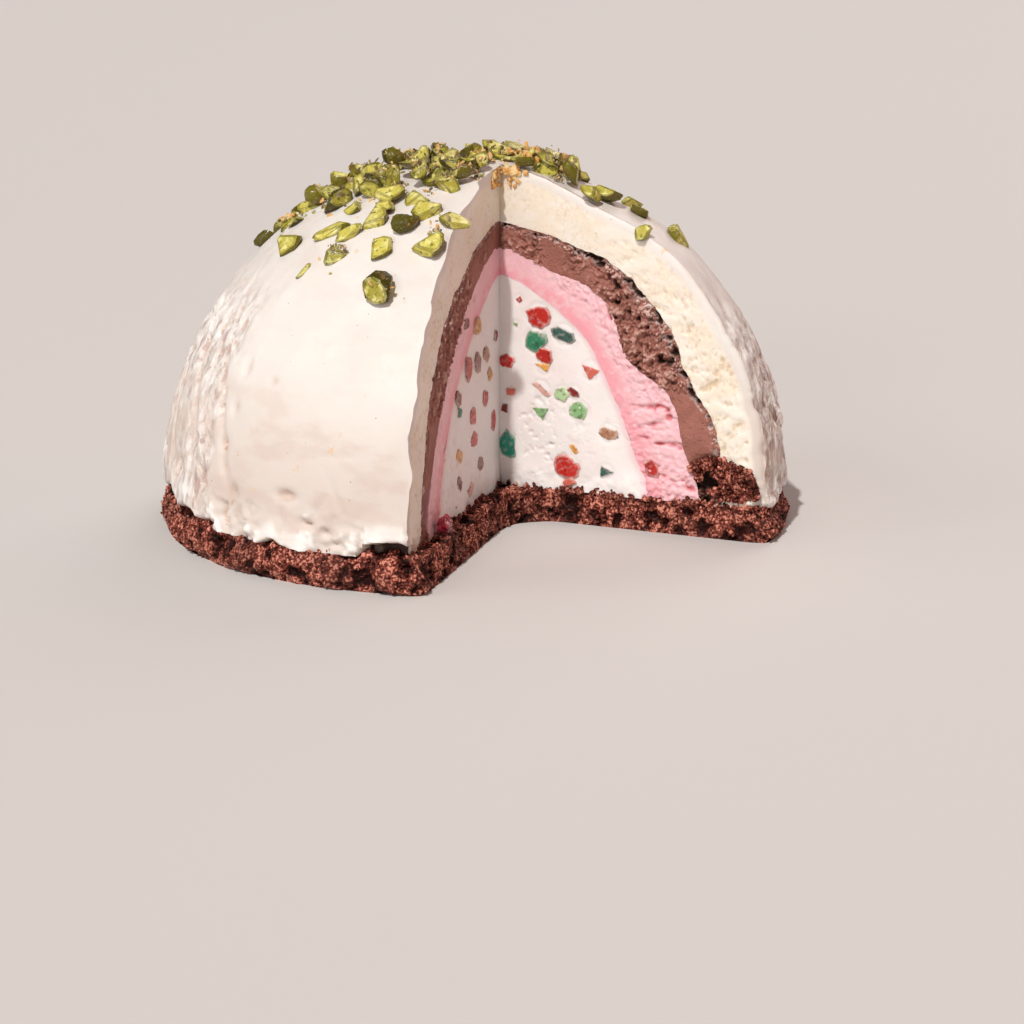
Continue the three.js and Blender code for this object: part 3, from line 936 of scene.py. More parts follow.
class Tint:
    """Colours of the food, and painted shades and highlights on it, as linear red, green and blue."""

    CREAM = (0.90, 0.83, 0.73)
    WARM_CREAM = (0.89, 0.79, 0.65)
    # painted shade in the pores and dents of a cut face
    PAINTED_PORE_SHADE = (0.70, 0.55, 0.38)
    WHITE = (0.82, 0.77, 0.725)
    OFF_WHITE = (0.80, 0.735, 0.685)
    # painted shade towards the bottom of the dome
    PAINTED_LOW_SHADE = (0.69, 0.60, 0.54)
    # painted highlight on raised lumps of the outside
    PAINTED_RAISED_HIGHLIGHT = (0.90, 0.86, 0.82)
    # painted highlight on the ridges between furrows
    PAINTED_RIDGE_HIGHLIGHT = (0.93, 0.89, 0.86)
    # painted shade in the hollows of the outside
    PAINTED_HOLLOW_SHADE = (0.52, 0.34, 0.25)
    # painted shade in the bottoms of furrows
    PAINTED_FURROW_SHADE = (0.46, 0.31, 0.28)
    # painted shade of the outside's gentle undulations
    PAINTED_SMEAR_SHADE = (0.64, 0.50, 0.43)
    GOLDEN_SPOT = (0.78, 0.50, 0.22)
    # painted shade in the gap under the ice cream's foot
    PAINTED_UNDERCUT_SHADE = (0.045, 0.016, 0.010)
    SPECK = (0.14, 0.10, 0.08)

    CHOCOLATE = (0.29, 0.115, 0.085)
    LIGHT_CHOCOLATE = (0.37, 0.148, 0.112)
    # painted highlight on raised chocolate crumbs
    PAINTED_CRUMB_HIGHLIGHT = (0.55, 0.31, 0.255)
    # painted shade in the pits of the chocolate
    PAINTED_PIT_SHADE = (0.035, 0.014, 0.010)
    FROST = (0.72, 0.60, 0.56)

    PINK = (0.89, 0.54, 0.58)
    DEEP_PINK = (0.90, 0.40, 0.45)
    PALE_PINK = (0.92, 0.68, 0.70)
    # painted shade in the tears of the pink layer
    PAINTED_TEAR_SHADE = (0.62, 0.17, 0.19)

    COOL_WHITE = (0.92, 0.875, 0.85)
    DIM_WHITE = (0.91, 0.845, 0.82)
    BLUSH = (0.90, 0.56, 0.60)
    BRUISE = (0.80, 0.62, 0.55)
    # painted shade in the bubbles of the core
    PAINTED_BUBBLE_SHADE = (0.62, 0.42, 0.38)

    # dark crumb, partly painted shade in the sponge's pores
    BLACK_CRUMB_AND_PORE_SHADE = (0.018, 0.003, 0.002)
    CRUMB_BROWN = (0.215, 0.050, 0.033)
    # light crumb, partly a painted highlight on raised crumbs
    CRUMB_TAN = (0.74, 0.29, 0.205)
    MOIST_CRUMB = (0.035, 0.012, 0.009)

    DARK_CRIMSON = (0.16, 0.010, 0.020)
    CRIMSON = (0.36, 0.022, 0.042)
    PINK_CREAM = (0.75, 0.45, 0.42)
    MILKY = (0.88, 0.76, 0.70)
    JELLY_SHADE = (0.55, 0.45, 0.45)

    FRESH_NUT = (0.68, 0.595, 0.115)
    RIPE_NUT = (0.36, 0.315, 0.040)
    # painted highlight on the pistachio flesh
    PALE_NUT = (0.86, 0.79, 0.31)
    NUT_SPOT = (0.19, 0.175, 0.020)
    GREEN_SKIN = (0.19, 0.160, 0.010)
    DARK_SKIN = (0.052, 0.043, 0.003)
    PURPLE_SKIN = (0.17, 0.095, 0.025)
    PAPERY_SKIN = (0.52, 0.40, 0.22)
    BROWN_PAPER = (0.15, 0.10, 0.055)
    TAN_PAPER = (0.45, 0.34, 0.18)
    GREEN_GRAIN = (0.33, 0.31, 0.06)
    DARK_GOLD = (0.72, 0.36, 0.10)
    GOLD = (0.78, 0.58, 0.28)


@dataclass(frozen=True)
class Gloss:
    """How a finish takes light, apart from its colour."""

    roughness: float = 0.5
    specular: float = 0.45
    scatter: float = 0.0  # share of light that goes into the food and out again
    scatter_depth: float = 2.0  # millimetres
    coat: float = 0.0
    coat_roughness: float = 0.15
    scatter_radius: tuple = (1.0, 0.55, 0.35)


class Effects:
    """Shader node groups that several finishes share."""

    def __init__(self) -> None:
        """Builds each group once."""
        self.patches = self._patches()
        self.grain = self._grain()

    def _patches(self) -> bpy.types.NodeTree:
        """Soft patches: a mask from noise of a given size, between two thresholds.

        Returns:
            The group.
        """
        inputs = {label: "NodeSocketFloat" for label in ("Size", "Low", "High", "Seed")}
        tree, sheet, given, out = new_tree(
            "ShaderNodeTree", "soft_patches", inputs, {"Mask": "NodeSocketFloat"}
        )
        size, low, high, seed = given.outputs[:4]
        scale = sheet.math("DIVIDE", 1.0 / MM, size)
        feeds = {"Vector": sheet.place(), "Scale": scale, "W": seed, "Detail": 3.0}
        noise = sheet.add("ShaderNodeTexNoise", feeds, noise_dimensions="4D")
        sheet.feed(out.inputs["Mask"], sheet.remap(noise.outputs["Fac"], low, high))
        return tree

    def _grain(self) -> bpy.types.NodeTree:
        """Fine ice crystals and pores as one height, from 0 to 1.

        Returns:
            The group.
        """
        inputs = {"Size": "NodeSocketFloat", "Pores": "NodeSocketFloat"}
        tree, sheet, given, out = new_tree(
            "ShaderNodeTree", "ice_grain", inputs, {"Height": "NodeSocketFloat"}
        )
        size, pores = given.outputs[:2]
        feeds = {"Vector": sheet.place(), "Scale": sheet.math("DIVIDE", 1.0 / MM, size), "Detail": 4.0}
        noise = sheet.add("ShaderNodeTexNoise", feeds)
        feeds = {"Vector": sheet.place(), "Scale": sheet.math("DIVIDE", 0.6 / MM, size)}
        cell = sheet.add("ShaderNodeTexVoronoi", feeds)
        pits = sheet.times(sheet.remap(cell.outputs["Distance"], 0.0, 0.35, (-1.0, 0.0)), pores)
        sheet.feed(out.inputs["Height"], sheet.math("ADD", noise.outputs["Fac"], pits))
        return tree


class Finish(Sheet):
    """A material with one Principled BSDF, painted coat by coat."""

    def __init__(self, name: str, gloss: Gloss, effects: Effects) -> None:
        """Makes the material and sets what is the same all over it.

        Args:
            name: Name of the material.
            gloss: Its constant values.
            effects: The shared node groups.
        """
        self.material = bpy.data.materials.new(name)
        self.material.use_nodes = True
        super().__init__(self.material.node_tree)
        self.effects = effects
        self.shader = next(n for n in self.tree.nodes if n.type == "BSDF_PRINCIPLED")
        constants = {
            "Roughness": gloss.roughness,
            "Specular IOR Level": gloss.specular,
            "Subsurface Weight": gloss.scatter,
            "Subsurface Scale": gloss.scatter_depth * MM,
            "Subsurface Radius": gloss.scatter_radius,
            "Coat Weight": gloss.coat,
            "Coat Roughness": gloss.coat_roughness,
        }
        for label, value in constants.items():
            self.shader.inputs[label].default_value = value

    def patches(self, size: float, low: float, high: float, seed: float) -> bpy.types.NodeSocket:
        """The mask of soft patches of one size, between two thresholds."""
        feeds = {"Size": size, "Low": low, "High": high, "Seed": seed}
        return self.add("ShaderNodeGroup", feeds, node_tree=self.effects.patches).outputs["Mask"]

    def grain(self, size: float, pores: float) -> bpy.types.NodeSocket:
        """The height of ice grain of one size."""
        feeds = {"Size": size, "Pores": pores}
        return self.add("ShaderNodeGroup", feeds, node_tree=self.effects.grain).outputs["Height"]

    def over(self, under: Source, mask: Source, colour: tuple, strength: float = 1.0) -> bpy.types.NodeSocket:
        """Lays a coat of colour over another where the mask says, at some strength."""
        return self.mix(mask if strength == 1.0 else self.times(mask, strength), under, colour)

    def done(self, colour: Source, normal: Source = None, roughness: Source = None) -> bpy.types.Material:
        """Feeds the shader with what varies, and gives the material."""
        for label, source in (("Base Color", colour), ("Normal", normal), ("Roughness", roughness)):
            if source is not None:
                self.feed(self.shader.inputs[label], source)
        return self.material


class Finishes:
    """Every finish of the cake, made once."""

    def __init__(self) -> None:
        """Builds the shared effects and the materials."""
        self.effects = Effects()
        self.vanilla = self._vanilla()
        self.chocolate = self._chocolate()
        self.strawberry = self._strawberry()
        self.core = self._core()
        self.sponge = self._sponge()
        self.cherry = self._cherry()
        self.fruit = self._fruit()
        self.pistachio = self._pistachio()
        self.nut_crumb = self._nut_crumb()

    def _vanilla(self) -> bpy.types.Material:
        """White outside, darker towards the bottom, with painted shade in its hollows, furrows, smears and
        the undercut below its foot, and painted highlights on raised lumps and ridges; creamy and porous at
        the cut, with painted shade in its pores, and a white outer band.

        Returns:
            The material.
        """
        look = Finish("vanilla_ice_cream", Gloss(0.46, 0.35, 0.22, 2.2), self.effects)
        cut, relief, across = (look.attribute(name) for name in ("cut", "relief", "across"))
        outside = look.remap(cut, 1.0, 0.0)
        wear = look.times(across, outside)

        depth = look.math("ADD", relief, look.remap(look.noise(1.3), 0.3, 0.7, (-0.3, 0.3)))
        cream = look.mix(look.patches(7.0, 0.42, 0.62, 3.0), Tint.CREAM, Tint.WARM_CREAM)
        # painted shade: tan where the cut's relief is sunk
        cream = look.over(cream, look.remap(depth, 0.05, -0.9), Tint.PAINTED_PORE_SHADE)

        low = look.remap(look.height(), 0.080, 0.030)
        rub = look.remap(look.patches(2.2, 0.52, 0.66, 8.0), 0.0, 1.0, (0.4, 1.0))
        white = look.mix(look.patches(30.0, 0.4, 0.65, 5.0), Tint.WHITE, Tint.OFF_WHITE)
        # painted shade: the outside darkens towards the bottom
        white = look.over(white, low, Tint.PAINTED_LOW_SHADE, 0.9)
        # painted highlight: lighter where the outside's relief stands out
        white = look.over(white, look.remap(relief, 0.5, 1.5), Tint.PAINTED_RAISED_HIGHLIGHT)
        # painted shade: tan in the outside's sunk hollows, in rubbed patches
        white = look.over(white, look.times(look.remap(relief, -0.4, -1.7), rub), Tint.PAINTED_HOLLOW_SHADE)

        streak = look.noise(3.0, 4.0, look.stretched(1.0, 1.0, 0.5), 21.0)
        # painted shade: stretched tan smears on the outside, stronger towards the bottom
        smear_shade = look.remap(look.noise(13.0, 4.0, look.stretched(0.6, 0.6, 1.4), 23.0), 0.50, 0.64)
        smear_shade = look.times(smear_shade, look.remap(cut, 1.0, 0.0, (0.0, 0.5)))
        smear_shade = look.times(smear_shade, look.remap(low, 0.0, 1.0, (0.3, 1.0)))
        # painted shade: near black in the undercut below the foot
        undercut_shade = look.times(look.remap(relief, -3.2, -5.5), outside)
        colour = look.mix(look.times(cut, look.remap(across, 0.13, 0.27)), white, cream)
        colour = look.over(colour, look.patches(4.5, 0.69, 0.74, 11.0), Tint.GOLDEN_SPOT, 0.55)
        # painted shade: tan where the streak bump is deepest
        colour = look.over(colour, look.times(look.remap(streak, 0.52, 0.62), wear), Tint.PAINTED_FURROW_SHADE, 0.85)
        # painted highlight: whiter on the ridges of the streak bump
        colour = look.over(colour, look.times(look.remap(streak, 0.46, 0.40), wear), Tint.PAINTED_RIDGE_HIGHLIGHT)
        colour = look.over(colour, smear_shade, Tint.PAINTED_SMEAR_SHADE)
        colour = look.over(colour, undercut_shade, Tint.PAINTED_UNDERCUT_SHADE)
        colour = look.over(colour, look.remap(look.cells(5.5), 0.05, 0.03), Tint.SPECK, 0.7)

        fine = look.bump(look.grain(1.0, 0.6), 0.1, 0.45)
        streaky = look.bump(look.math("SUBTRACT", 1.0, streak), 3.4, look.times(wear, 0.9), fine)
        normal = look.bump(look.noise(6.0, 3.0), 0.5, 0.5, streaky)
        return look.done(colour, normal, look.remap(look.noise(7.0, 3.0), 0.3, 0.7, (0.36, 0.6)))

    def _chocolate(self) -> bpy.types.Material:
        """Milk chocolate brown, with painted shade nearly black in its pits and painted highlights on its
        raised crumbs, and frosted beside the vanilla.

        Returns:
            The material.
        """
        look = Finish("chocolate_ice_cream", Gloss(0.62, 0.3, 0.06, 1.0), self.effects)
        relief = look.attribute("relief")
        border = look.remap(look.attribute("across"), 0.42, 0.1)
        frost = look.times(look.patches(1.6, 0.42, 0.55, 9.0), border)
        frost = look.times(frost, look.remap(look.math("ABSOLUTE", relief), 0.15, 0.55))
        colour = look.mix(look.patches(8.0, 0.35, 0.65, 2.0), Tint.CHOCOLATE, Tint.LIGHT_CHOCOLATE)
        # painted highlight: lighter where the crumbs stand proud
        colour = look.over(colour, look.remap(relief, 0.05, 0.6), Tint.PAINTED_CRUMB_HIGHLIGHT)
        colour = look.over(colour, frost, Tint.FROST, 0.75)
        # painted shade: near black where the relief is sunk
        colour = look.over(colour, look.remap(relief, -0.5, -2.1), Tint.PAINTED_PIT_SHADE)
        return look.done(colour, look.bump(look.grain(0.9, 1.0), 0.35, 0.8))

    def _strawberry(self) -> bpy.types.Material:
        """Pastel pink with a deeper band along the core, and painted shade in its tears.

        Returns:
            The material.
        """
        look = Finish("strawberry_ice_cream", Gloss(0.5, 0.35, 0.2, 2.0), self.effects)
        wander = look.remap(look.noise(9.0), 0.3, 0.7, (-0.1, 0.1))
        inwards = look.remap(look.math("ADD", look.attribute("across"), wander), 0.5, 0.85)
        colour = look.mix(inwards, Tint.PINK, Tint.DEEP_PINK)
        colour = look.over(colour, look.patches(3.0, 0.5, 0.7, 4.0), Tint.PALE_PINK, 0.5)
        # painted shade: darker red where the relief is sunk
        colour = look.over(colour, look.remap(look.attribute("relief"), -0.25, -1.3), Tint.PAINTED_TEAR_SHADE)
        return look.done(colour, look.bump(look.grain(1.0, 0.7), 0.12, 0.55))

    def _core(self) -> bpy.types.Material:
        """Cool white cream, a little pink at its border, with painted shade in its bubbles.

        Returns:
            The material.
        """
        look = Finish("cassata_cream", Gloss(0.48, 0.35, 0.25, 2.6), self.effects)
        colour = look.mix(look.patches(12.0, 0.4, 0.65, 1.0), Tint.COOL_WHITE, Tint.DIM_WHITE)
        colour = look.over(colour, look.remap(look.attribute("across"), 0.07, 0.0), Tint.BLUSH, 0.7)
        colour = look.over(colour, look.patches(3.0, 0.6, 0.7, 6.0), Tint.BRUISE, 0.3)
        # painted shade: greyish where the relief is sunk
        colour = look.over(colour, look.remap(look.attribute("relief"), -0.3, -1.6), Tint.PAINTED_BUBBLE_SHADE)
        return look.done(colour, look.bump(look.grain(1.1, 0.6), 0.1, 0.5))

    def _sponge(self) -> bpy.types.Material:
        """Moist dark chocolate crumb: reddish-brown grains, black between them and tan on top; the black is
        partly painted shade in the pores and the tan partly a painted highlight on the raised crumbs.

        Returns:
            The material.
        """
        look = Finish("chocolate_sponge", Gloss(0.6, 0.12), self.effects)
        fine = look.remap(look.noise(0.9, 3.0), 0.3, 0.7, (-0.85, 0.85))
        rise = look.math("ADD", look.attribute("relief"), fine)
        moist = look.remap(look.noise(16.0, 2.0, None, 3.0), 0.42, 0.6)
        # black where relief and grain are low: partly painted shade in pores, partly dark grain
        colour = look.mix(look.remap(rise, -0.95, 0.1), Tint.BLACK_CRUMB_AND_PORE_SHADE, Tint.CRUMB_BROWN)
        # tan where relief and grain are high: partly painted highlight on crumbs, partly light grain
        colour = look.over(colour, look.remap(rise, 0.1, 0.75), Tint.CRUMB_TAN)
        colour = look.over(colour, moist, Tint.MOIST_CRUMB, 0.4)
        roughness = look.remap(look.noise(1.6), 0.4, 0.6, (0.35, 0.8))
        return look.done(colour, look.bump(look.grain(0.7, 1.0), 0.3, 0.9), roughness)

    def _cherry(self) -> bpy.types.Material:
        """Crimson candied cherry with a smear of cream."""
        look = Finish("candied_cherry", Gloss(0.25, 0.5, 0.1, 1.0, 0.4), self.effects)
        colour = look.mix(look.patches(2.4, 0.4, 0.65, 2.0), Tint.DARK_CRIMSON, Tint.CRIMSON)
        colour = look.over(colour, look.patches(3.0, 0.6, 0.66, 14.0), Tint.PINK_CREAM, 0.7)
        return look.done(colour, look.bump(look.grain(1.0, 0.6), 0.15, 0.5))

    def _fruit(self) -> bpy.types.Material:
        """Candied peel and cherry: jelly-like, milky in places, in each die's own colour.

        Returns:
            The material.
        """
        look = Finish("candied_fruit", Gloss(0.34, 0.5, 0.2, 1.2, 0.1), self.effects)
        own = look.add("ShaderNodeAttribute", {}, attribute_name="fruit_colour").outputs["Color"]
        colour = look.mix(look.patches(2.2, 0.5, 0.72, 4.0), own, look.mix(0.4, own, Tint.MILKY))
        colour = look.mix(look.patches(1.3, 0.52, 0.68, 6.0), colour, Tint.JELLY_SHADE, "MULTIPLY")
        return look.done(colour, look.bump(look.grain(0.9, 0.5), 0.2, 0.7))

    def _pistachio(self) -> bpy.types.Material:
        """Yellow-green flesh at the cuts, darker at its rim, with pale patches of painted highlight; skin
        from olive green to purple brown.

        Returns:
            The material.
        """
        look = Finish("pistachio", Gloss(0.34, 0.28, 0.1, 1.0, 0.15), self.effects)
        tint = look.attribute("tint")
        flesh = look.mix(tint, Tint.FRESH_NUT, Tint.RIPE_NUT)
        # painted highlight: pale patches on the flesh
        flesh = look.over(flesh, look.patches(3.0, 0.45, 0.65, 3.0), Tint.PALE_NUT)
        flesh = look.over(flesh, look.patches(1.6, 0.54, 0.68, 5.0), Tint.NUT_SPOT)
        skin = look.mix(tint, Tint.GREEN_SKIN, Tint.DARK_SKIN)
        skin = look.over(skin, look.patches(3.4, 0.56, 0.68, 7.0), Tint.PURPLE_SKIN)
        skin = look.over(skin, look.patches(1.1, 0.62, 0.7, 9.0), Tint.PAPERY_SKIN, 0.7)
        colour = look.mix(look.attribute("flesh"), skin, flesh)
        roughness = look.remap(look.noise(1.5), 0.35, 0.65, (0.18, 0.5))
        return look.done(colour, look.bump(look.grain(1.4, 0.7), 0.35, 0.85), roughness)

    def _nut_crumb(self) -> bpy.types.Material:
        """Brown papery skins, green grains, and golden grains where `tint` is 1.

        Returns:
            The material.
        """
        look = Finish("pistachio_crumb", Gloss(0.45, 0.45), self.effects)
        papery = look.mix(look.patches(2.4, 0.42, 0.58, 3.0), Tint.BROWN_PAPER, Tint.TAN_PAPER)
        papery = look.over(papery, look.patches(3.4, 0.5, 0.6, 6.0), Tint.GREEN_GRAIN)
        golden = look.mix(look.patches(2.0, 0.4, 0.6, 5.0), Tint.DARK_GOLD, Tint.GOLD)
        return look.done(look.mix(look.attribute("tint"), papery, golden))


# ---- Sponge ----


def crumb_relief(points: np.ndarray, seed: int) -> np.ndarray:
    """Relief of broken sponge, in millimetres: crumbs, finer crumbs on them, and torn pores.

    Args:
        points: (N, 3) places in millimetres.
        seed: Which pattern.

    Returns:
        (N,) heights above the smooth surface.
    """
    coarse = 0.55 - crumb_distance(warped(points, 0.7, 2.6, seed + 11), 2.4, seed)
    fine = rough(points, 1.5, seed + 1, 2)
    pores = np.minimum(0.0, rough(points, 4.2, seed + 2, 3) + 0.06)
    return 1.1 * coarse + 0.55 * fine + 4.2 * pores


@dataclass
class Sponge:
    """The torn, moist chocolate sponge, with its ledge along the left cut face."""

    thickness: float = SPONGE_TOP
    radius: float = 111.5
    ledge: float = 6.0  # how far it sticks out past the left cut face
    corner_fill: float = 13.0  # how far it fills the corner where the cuts meet
    corner_reach: float = 20.0  # how far along each cut face that filling starts
    spacing: float = 0.6
    side_rows: int = 26
    top_band: float = 8.0  # how far in from its edge the top has crumbs

    def _rim_end(self, start: np.ndarray, direction: np.ndarray) -> np.ndarray:
        """Where a line from `start` meets the round rim."""
        along = float(start @ direction)
        return start + direction * (-along + math.sqrt(along**2 - float(start @ start) + self.radius**2))

    def outline(self) -> np.ndarray:
        """The plan outline, anticlockwise.

        Returns:
            (N, 2) points about `spacing` apart.
        """
        ledge_start = CORNER + self.ledge * Side.LEFT.into_wedge
        first = self._rim_end(CORNER, Side.RIGHT.direction)
        last = self._rim_end(ledge_start, Side.LEFT.direction)
        turn = np.linspace(
            math.degrees(math.atan2(first[1], first[0])),
            math.degrees(math.atan2(last[1], last[0])) + FULL_TURN,
            400,
        )
        middle = plan_direction((Side.LEFT.value + Side.RIGHT.value) / 2.0)
        knots = [self.radius * plan_direction(azimuth) for azimuth in turn]
        knots.append(ledge_start + self.corner_reach * Side.LEFT.direction)
        knots.append(CORNER + self.corner_fill * middle)
        knots.append(CORNER + self.corner_reach * Side.RIGHT.direction)
        knots.append(knots[0])
        knots = np.array(knots)
        length = np.append(0.0, np.cumsum(np.linalg.norm(np.diff(knots, axis=0), axis=1)))
        at = np.linspace(0.0, length[-1], int(length[-1] / self.spacing), endpoint=False)
        loop = np.stack([np.interp(at, length, knots[:, axis]) for axis in range(2)], axis=1)
        for _ in range(12):
            loop = (np.roll(loop, 2, axis=0) + np.roll(loop, 1, axis=0) + loop + np.roll(loop, -1, axis=0)
                    + np.roll(loop, -2, axis=0)) / 5.0
        return loop

    def _outward(self, outline: np.ndarray) -> np.ndarray:
        """Unit normals of the outline, smoothed over a few points."""
        along = np.roll(outline, -2, axis=0) - np.roll(outline, 2, axis=0)
        normal = np.stack([along[:, 1], -along[:, 0]], axis=1)
        return normal / np.linalg.norm(normal, axis=1)[:, None]

    def _top(self, loop: np.ndarray) -> tuple:
        """Triangles over the plan inside a loop, fine along its edge and coarse elsewhere.

        Args:
            loop: (N, 2) plan points.

        Returns:
            The (M, 2) points, of which the loop's are the first N, and the triangles.
        """
        axis = np.arange(-self.radius, self.radius, 0.8)
        spots = np.stack(np.meshgrid(axis, axis, indexing="ij"), axis=-1).reshape(-1, 2)
        coarse = (np.round(spots / 0.8).astype(int) % 8 == 0).all(axis=1)
        spots = spots + np.random.default_rng(4).uniform(-0.15, 0.15, spots.shape)
        crossings = np.zeros(len(spots), dtype=int)
        nearest = np.full(len(spots), 1e9)
        for start, end in zip(loop, np.roll(loop, -1, axis=0)):
            spans = (start[1] > spots[:, 1]) != (end[1] > spots[:, 1])
            rise = end[1] - start[1]
            if abs(rise) > 1e-9:
                meets = start[0] + (spots[:, 1] - start[1]) / rise * (end[0] - start[0])
                crossings += spans & (spots[:, 0] < meets)
            nearest = np.minimum(nearest, np.square(spots - start).sum(axis=1))
        nearest = np.sqrt(nearest)
        keep = (crossings % 2 == 1) & (nearest > 0.6) & ((nearest < self.top_band) | coarse)
        points = np.vstack([loop, spots[keep]])
        result = delaunay_2d_cdt([Vector(p) for p in points], [], [list(range(len(loop)))], 1, 1e-5)
        origin = [sources[0] if sources else None for sources in result[3]]
        faces = [[origin[v] for v in face] for face in result[2]]
        return points, [face for face in faces if None not in face]

    def build(self) -> bpy.types.Object:
        """Lofts the rim's rows, closes the top and the underside, and roughens all of it.

        Returns:
            The sponge's mesh object.
        """
        outline = self.outline()
        outward = self._outward(outline)
        at_rim = ramp(np.hypot(outline[:, 0], outline[:, 1]), self.radius - 8.0, self.radius - 2.0)
        sheets, directions, shares = [], [], []
        for share in np.linspace(0.0, 1.0, self.side_rows):
            round_rim = np.interp(share, [0.0, 0.3, 0.6, 1.0], [1.0, -1.0, 0.0, 3.0])
            inset = at_rim * round_rim + (1.0 - at_rim) * 0.8 * share
            plan = outline - outward * inset[:, None]
            sheets.append(np.column_stack([plan, np.full(len(plan), share * self.thickness)]))
            lean = 0.5 * math.pi * ramp(np.array([share]), 0.7, 1.05)[0]
            up = np.full(len(plan), math.sin(lean))
            directions.append(np.column_stack([outward * math.cos(lean), up]))
            shares.append(np.full(len(plan), share))
        top, top_faces = self._top(sheets[-1][:, :2])
        count = len(outline)
        sheets.append(np.column_stack([top[count:], np.full(len(top) - count, self.thickness)]))
        directions.append(np.tile((0.0, 0.0, 1.0), (len(top) - count, 1)))
        shares.append(np.ones(len(top) - count))
        place, direction, share = np.vstack(sheets), np.vstack(directions), np.concatenate(shares)
        rim = ramp(np.hypot(place[:, 0], place[:, 1]), self.radius - 14.0, self.radius - 4.0)
        crumb = crumb_relief(place, 601)
        relief = crumb + rim * (1.7 * lumps(place, 9.0, 604) + 1.2 * lumps(place, 30.0, 605))
        bare = (depth_in_wedge(place) > -0.5) | (np.hypot(place[:, 0], place[:, 1]) > self.radius - 7.0)
        place = place + direction * (relief * ramp(share, 0.0, 0.05))[:, None]
        place[:, 2] = np.maximum(place[:, 2], 0.0)
        index = np.arange(self.side_rows * count).reshape(self.side_rows, count)
        closed = np.concatenate([index, index[:, :1]], axis=1)
        last = (self.side_rows - 1) * count
        faces = grid_faces(closed).tolist() + [index[0].tolist()]
        faces = faces + [[last + v for v in face] for face in top_faces]
        piece = make_mesh("sponge_piece", place, faces)
        write_attribute(piece, "relief", crumb)
        write_attribute(piece, "bare", bare & (share > 0.1))
        return piece


@dataclass
class Lump:
    """An uneven lump of food stretched along a cut face."""

    name: str
    side: Side
    run: float
    proud: float
    height: float
    half_size: tuple
    seed: int
    detail: int = 5
    crumb: float = 1.0  # how much broken sponge relief it has

    def build(self) -> bpy.types.Object:
        """A ball pushed into the lump's shape.

        Returns:
            The lump's mesh object.
        """
        ball = bmesh.new()
        bmesh.ops.create_icosphere(ball, subdivisions=self.detail, radius=1.0)
        unit = np.array([v.co for v in ball.verts])
        faces = [[v.index for v in face.verts] for face in ball.faces]
        ball.free()
        local = unit * self.half_size * (1.0 + 0.3 * rough(unit, 0.9, self.seed, 2))[:, None]
        centre = on_face(self.side, self.run, self.height, self.proud)
        along = np.append(self.side.direction, 0.0)
        outwards = np.append(self.side.into_wedge, 0.0)
        place = centre + local[:, :1] * along + local[:, 1:2] * outwards + local[:, 2:] * (0.0, 0.0, 1.0)
        normal = unit[:, :1] * along + unit[:, 1:2] * outwards + unit[:, 2:] * (0.0, 0.0, 1.0)
        relief = self.crumb * crumb_relief(place, self.seed + 5)
        place = place + normal * relief[:, None]
        place[:, 2] = np.maximum(place[:, 2], 0.3)
        piece = make_mesh(self.name, place, faces)
        write_attribute(piece, "relief", relief)
        return piece


# ---- Candied fruit ----


class Fruit(Enum):
    """Kinds of candied fruit, by colour."""

    CHERRY = (0.55, 0.020, 0.012)
    DARK_CHERRY = (0.24, 0.020, 0.016)
    CORAL = (0.72, 0.16, 0.11)
    EMERALD = (0.035, 0.26, 0.13)
    TEAL = (0.012, 0.30, 0.21)
    DARK_TEAL = (0.045, 0.12, 0.10)
    LIME = (0.26, 0.50, 0.22)
    PALE_LIME = (0.42, 0.60, 0.33)
    ORANGE = (0.80, 0.38, 0.07)
    TAN = (0.50, 0.24, 0.13)
    BROWN = (0.30, 0.10, 0.06)
    PALE_PINK = (0.80, 0.45, 0.38)


@dataclass(frozen=True)
class Die:
    """One candied piece that shows at a cut face; lengths in millimetres, tilt in degrees."""

    side: Side
    run: float
    height: float
    width: float
    tall: float
    tilt: float
    fruit: Fruit
    corners: int = 4


